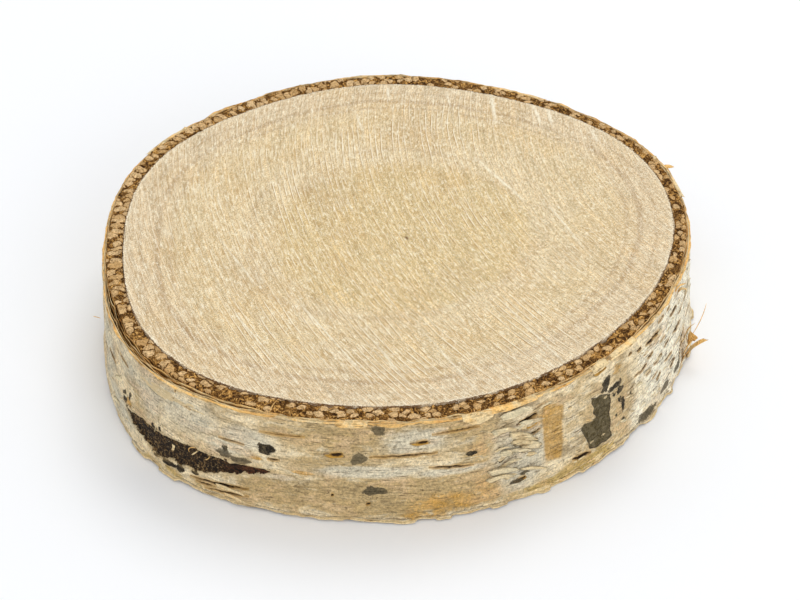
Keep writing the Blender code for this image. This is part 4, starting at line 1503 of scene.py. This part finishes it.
class BirchSizes(bpy.types.PropertyGroup):
    """The sizes of the slice's fine relief."""

    saw_mark_depth: FloatProperty(
        name="Saw mark depth", description="Depth of the marks left by the saw, in mm", default=0.05, min=0
    )
    lump_rise: FloatProperty(
        name="Lump rise", description="Share of their height to which the lumps rise", default=1.0, min=0
    )
    skin_columns: IntProperty(name="Skin columns", description="Points round the outer bark", default=890)
    skin_rows: IntProperty(name="Skin rows", description="Points up the outer bark", default=96)
    ring_columns: IntProperty(name="Ring columns", description="Points round the inner bark", default=1900)
    chords: IntProperty(name="Chords", description="Rows of points across the wood", default=700)


def colours():
    """The colours that the panel shows."""
    return bpy.context.scene.birch_colours


def sizes():
    """The sizes that the panel shows."""
    return bpy.context.scene.birch_sizes


class OBJECT_OT_birch_wood(bpy.types.Operator):
    """Adds the sawn wood"""

    bl_idname = "object.birch_wood"
    bl_label = "Sawn Wood"

    def execute(self, context):
        points, fields = wood_disc(sizes().chords, LOOP_POINTS, UNDER_POINTS, sizes().saw_mark_depth)
        made = weave("sawn_wood", points, fields, closed_rows=False, weld=True)
        settle(made, "wood", wood_finish(colours()), "wood")
        return {"FINISHED"}


class OBJECT_OT_birch_inner_bark(bpy.types.Operator):
    """Adds the torn ring of inner bark"""

    bl_idname = "object.birch_inner_bark"
    bl_label = "Inner Bark"

    def execute(self, context):
        points, fields = inner_bark_ring(sizes().ring_columns, sizes().lump_rise)
        made = weave("torn_inner_bark", points, fields)
        settle(made, "inner_bark", grain_finish(colours()), "inner_bark")
        return {"FINISHED"}


class OBJECT_OT_birch_outer_bark(bpy.types.Operator):
    """Adds the papery skin of the bark"""

    bl_idname = "object.birch_outer_bark"
    bl_label = "Outer Bark"

    def execute(self, context):
        points, fields = outer_bark_skin(sizes().skin_columns, sizes().skin_rows)
        made = weave("bark_skin", points, fields)
        settle(made, "outer_bark", bark_finish(colours()), "outer_bark")
        return {"FINISHED"}


class OBJECT_OT_birch_papers(bpy.types.Operator):
    """Adds the paper layers at the rims, the strips over the rim, the peels and the loose fibres"""

    bl_idname = "object.birch_papers"
    bl_label = "Paper Layers"

    def execute(self, context):
        finish = paper_finish(colours())
        points, fields = paper_layers(LAYER_COLUMNS)
        settle(weave("paper_layers", points, fields), "outer_bark", finish)
        points, fields = rim_sheets(LAP_COLUMNS)
        settle(weave("rim_sheets", points, fields), "outer_bark", finish)

        strips = [rim_strip(*strip, STRIP_SEED + number) for number, strip in enumerate(RIM_STRIPS)]
        strips = np.stack(strips)
        warm = np.full(strips.shape[:3], 0.25) + 0.3 * np.sin(np.arange(len(strips)) * 2.1)[:, None, None]
        hanging = weave("rim_strips", strips, {"warm": warm}, closed_rows=False, weld=True)
        settle(hanging, "outer_bark", finish)

        scattered = [
            scattered_flakes(group, FLAKE_SEED + number) for number, group in enumerate(FLAKE_GROUPS)
        ]
        for name, scraps, grid in (
            ("bark_peels", np.array(PEELS, float), PEEL_POINTS),
            ("bark_flakes", np.concatenate(scattered), FLAKE_POINTS),
        ):
            shells = np.stack([bark_peel(peel, 3.1 * number, *grid) for number, peel in enumerate(scraps)])
            warm = scraps[:, 6][:, None, None] + np.zeros(shells.shape[:3])
            curled = weave(name, shells, {"warm": warm}, closed_rows=False, weld=True)
            settle(curled, "outer_bark", finish)

        fibres = np.stack([loose_fibre(points) for points in FIBRES])
        warm = np.full(fibres.shape[:3], 0.8)
        loose = weave("loose_fibres", fibres, {"warm": warm}, closed_rows=False, weld=True)
        settle(loose, "outer_bark", finish)
        return {"FINISHED"}


class OBJECT_OT_birch_stage(bpy.types.Operator):
    """Adds the pale floor, the soft light and the camera"""

    bl_idname = "object.birch_stage"
    bl_label = "Stage"

    def execute(self, context):
        scene = context.scene
        scene.view_settings.view_transform = "Standard"
        side = FLOOR_SIDE
        corners = [(-side, -side, 0), (side, -side, 0), (side, side, 0), (-side, side, 0)]
        mesh = bpy.data.meshes.new("floor")
        mesh.from_pydata(corners, [], [(0, 1, 2, 3)])
        floor = bpy.data.objects.new("floor", mesh)
        scene.collection.objects.link(floor)
        white = bpy.data.materials.new("Pale floor")
        white.use_nodes = True
        shader = white.node_tree.nodes["Principled BSDF"]
        shader.inputs["Base Color"].default_value = (*colours().floor, 1)
        shader.inputs["Roughness"].default_value = FLOOR_ROUGHNESS
        mesh.materials.append(white)

        world = bpy.data.worlds.new("Soft light")
        world.use_nodes = True
        sky = world.node_tree.nodes["Background"].inputs
        sky["Color"].default_value = (1, 1, 1, 1)
        sky["Strength"].default_value = SKY_STRENGTH
        scene.world = world
        for name, place, width, power in LAMPS:
            lamp = bpy.data.lights.new(name, "AREA")
            lamp.size = width
            lamp.energy = power
            holder = bpy.data.objects.new(name, lamp)
            holder.location = place
            holder.rotation_euler = (-Vector(place)).to_track_quat("-Z", "Y").to_euler()
            scene.collection.objects.link(holder)

        lens = bpy.data.cameras.new("camera")
        lens.lens = CAMERA_LENS
        lens.sensor_width = CAMERA_SENSOR
        camera = bpy.data.objects.new("camera", lens)
        aim = Vector(CAMERA_AIM) * MM
        tilt = math.radians(CAMERA_TILT)
        camera.location = aim + Vector((0, -math.cos(tilt), math.sin(tilt))) * CAMERA_DISTANCE * MM
        looking = (aim - camera.location).to_track_quat("-Z", "Y").to_matrix().to_4x4()
        roll = Matrix.Rotation(math.radians(CAMERA_ROLL), 4, "Z")
        camera.matrix_world = Matrix.Translation(camera.location) @ looking @ roll
        scene.collection.objects.link(camera)
        scene.camera = camera
        return {"FINISHED"}


class VIEW3D_PT_birch_slice(bpy.types.Panel):
    """Lists the pieces of the slice and its sizes and colours"""

    bl_label = "Birch Slice"
    bl_space_type = "VIEW_3D"
    bl_region_type = "UI"
    bl_category = "Birch Slice"

    def draw(self, context):
        for operator in OPERATORS:
            self.layout.operator(operator.bl_idname)
        for settings in (context.scene.birch_sizes, context.scene.birch_colours):
            for name in settings.__annotations__:
                self.layout.prop(settings, name)


OPERATORS = (
    OBJECT_OT_birch_wood,
    OBJECT_OT_birch_inner_bark,
    OBJECT_OT_birch_outer_bark,
    OBJECT_OT_birch_papers,
    OBJECT_OT_birch_stage,
)
CLASSES = (BirchColours, BirchSizes, *OPERATORS, VIEW3D_PT_birch_slice)


def register():
    for kind in CLASSES:
        bpy.utils.register_class(kind)
    bpy.types.Scene.birch_colours = PointerProperty(type=BirchColours)
    bpy.types.Scene.birch_sizes = PointerProperty(type=BirchSizes)


def unregister():
    del bpy.types.Scene.birch_sizes
    del bpy.types.Scene.birch_colours
    for kind in reversed(CLASSES):
        bpy.utils.unregister_class(kind)


def main():
    """Adds the slice and its stage."""
    register()
    bpy.ops.object.birch_wood()
    bpy.ops.object.birch_inner_bark()
    bpy.ops.object.birch_outer_bark()
    bpy.ops.object.birch_papers()
    bpy.ops.object.birch_stage()


if __name__ == "__main__":
    main()
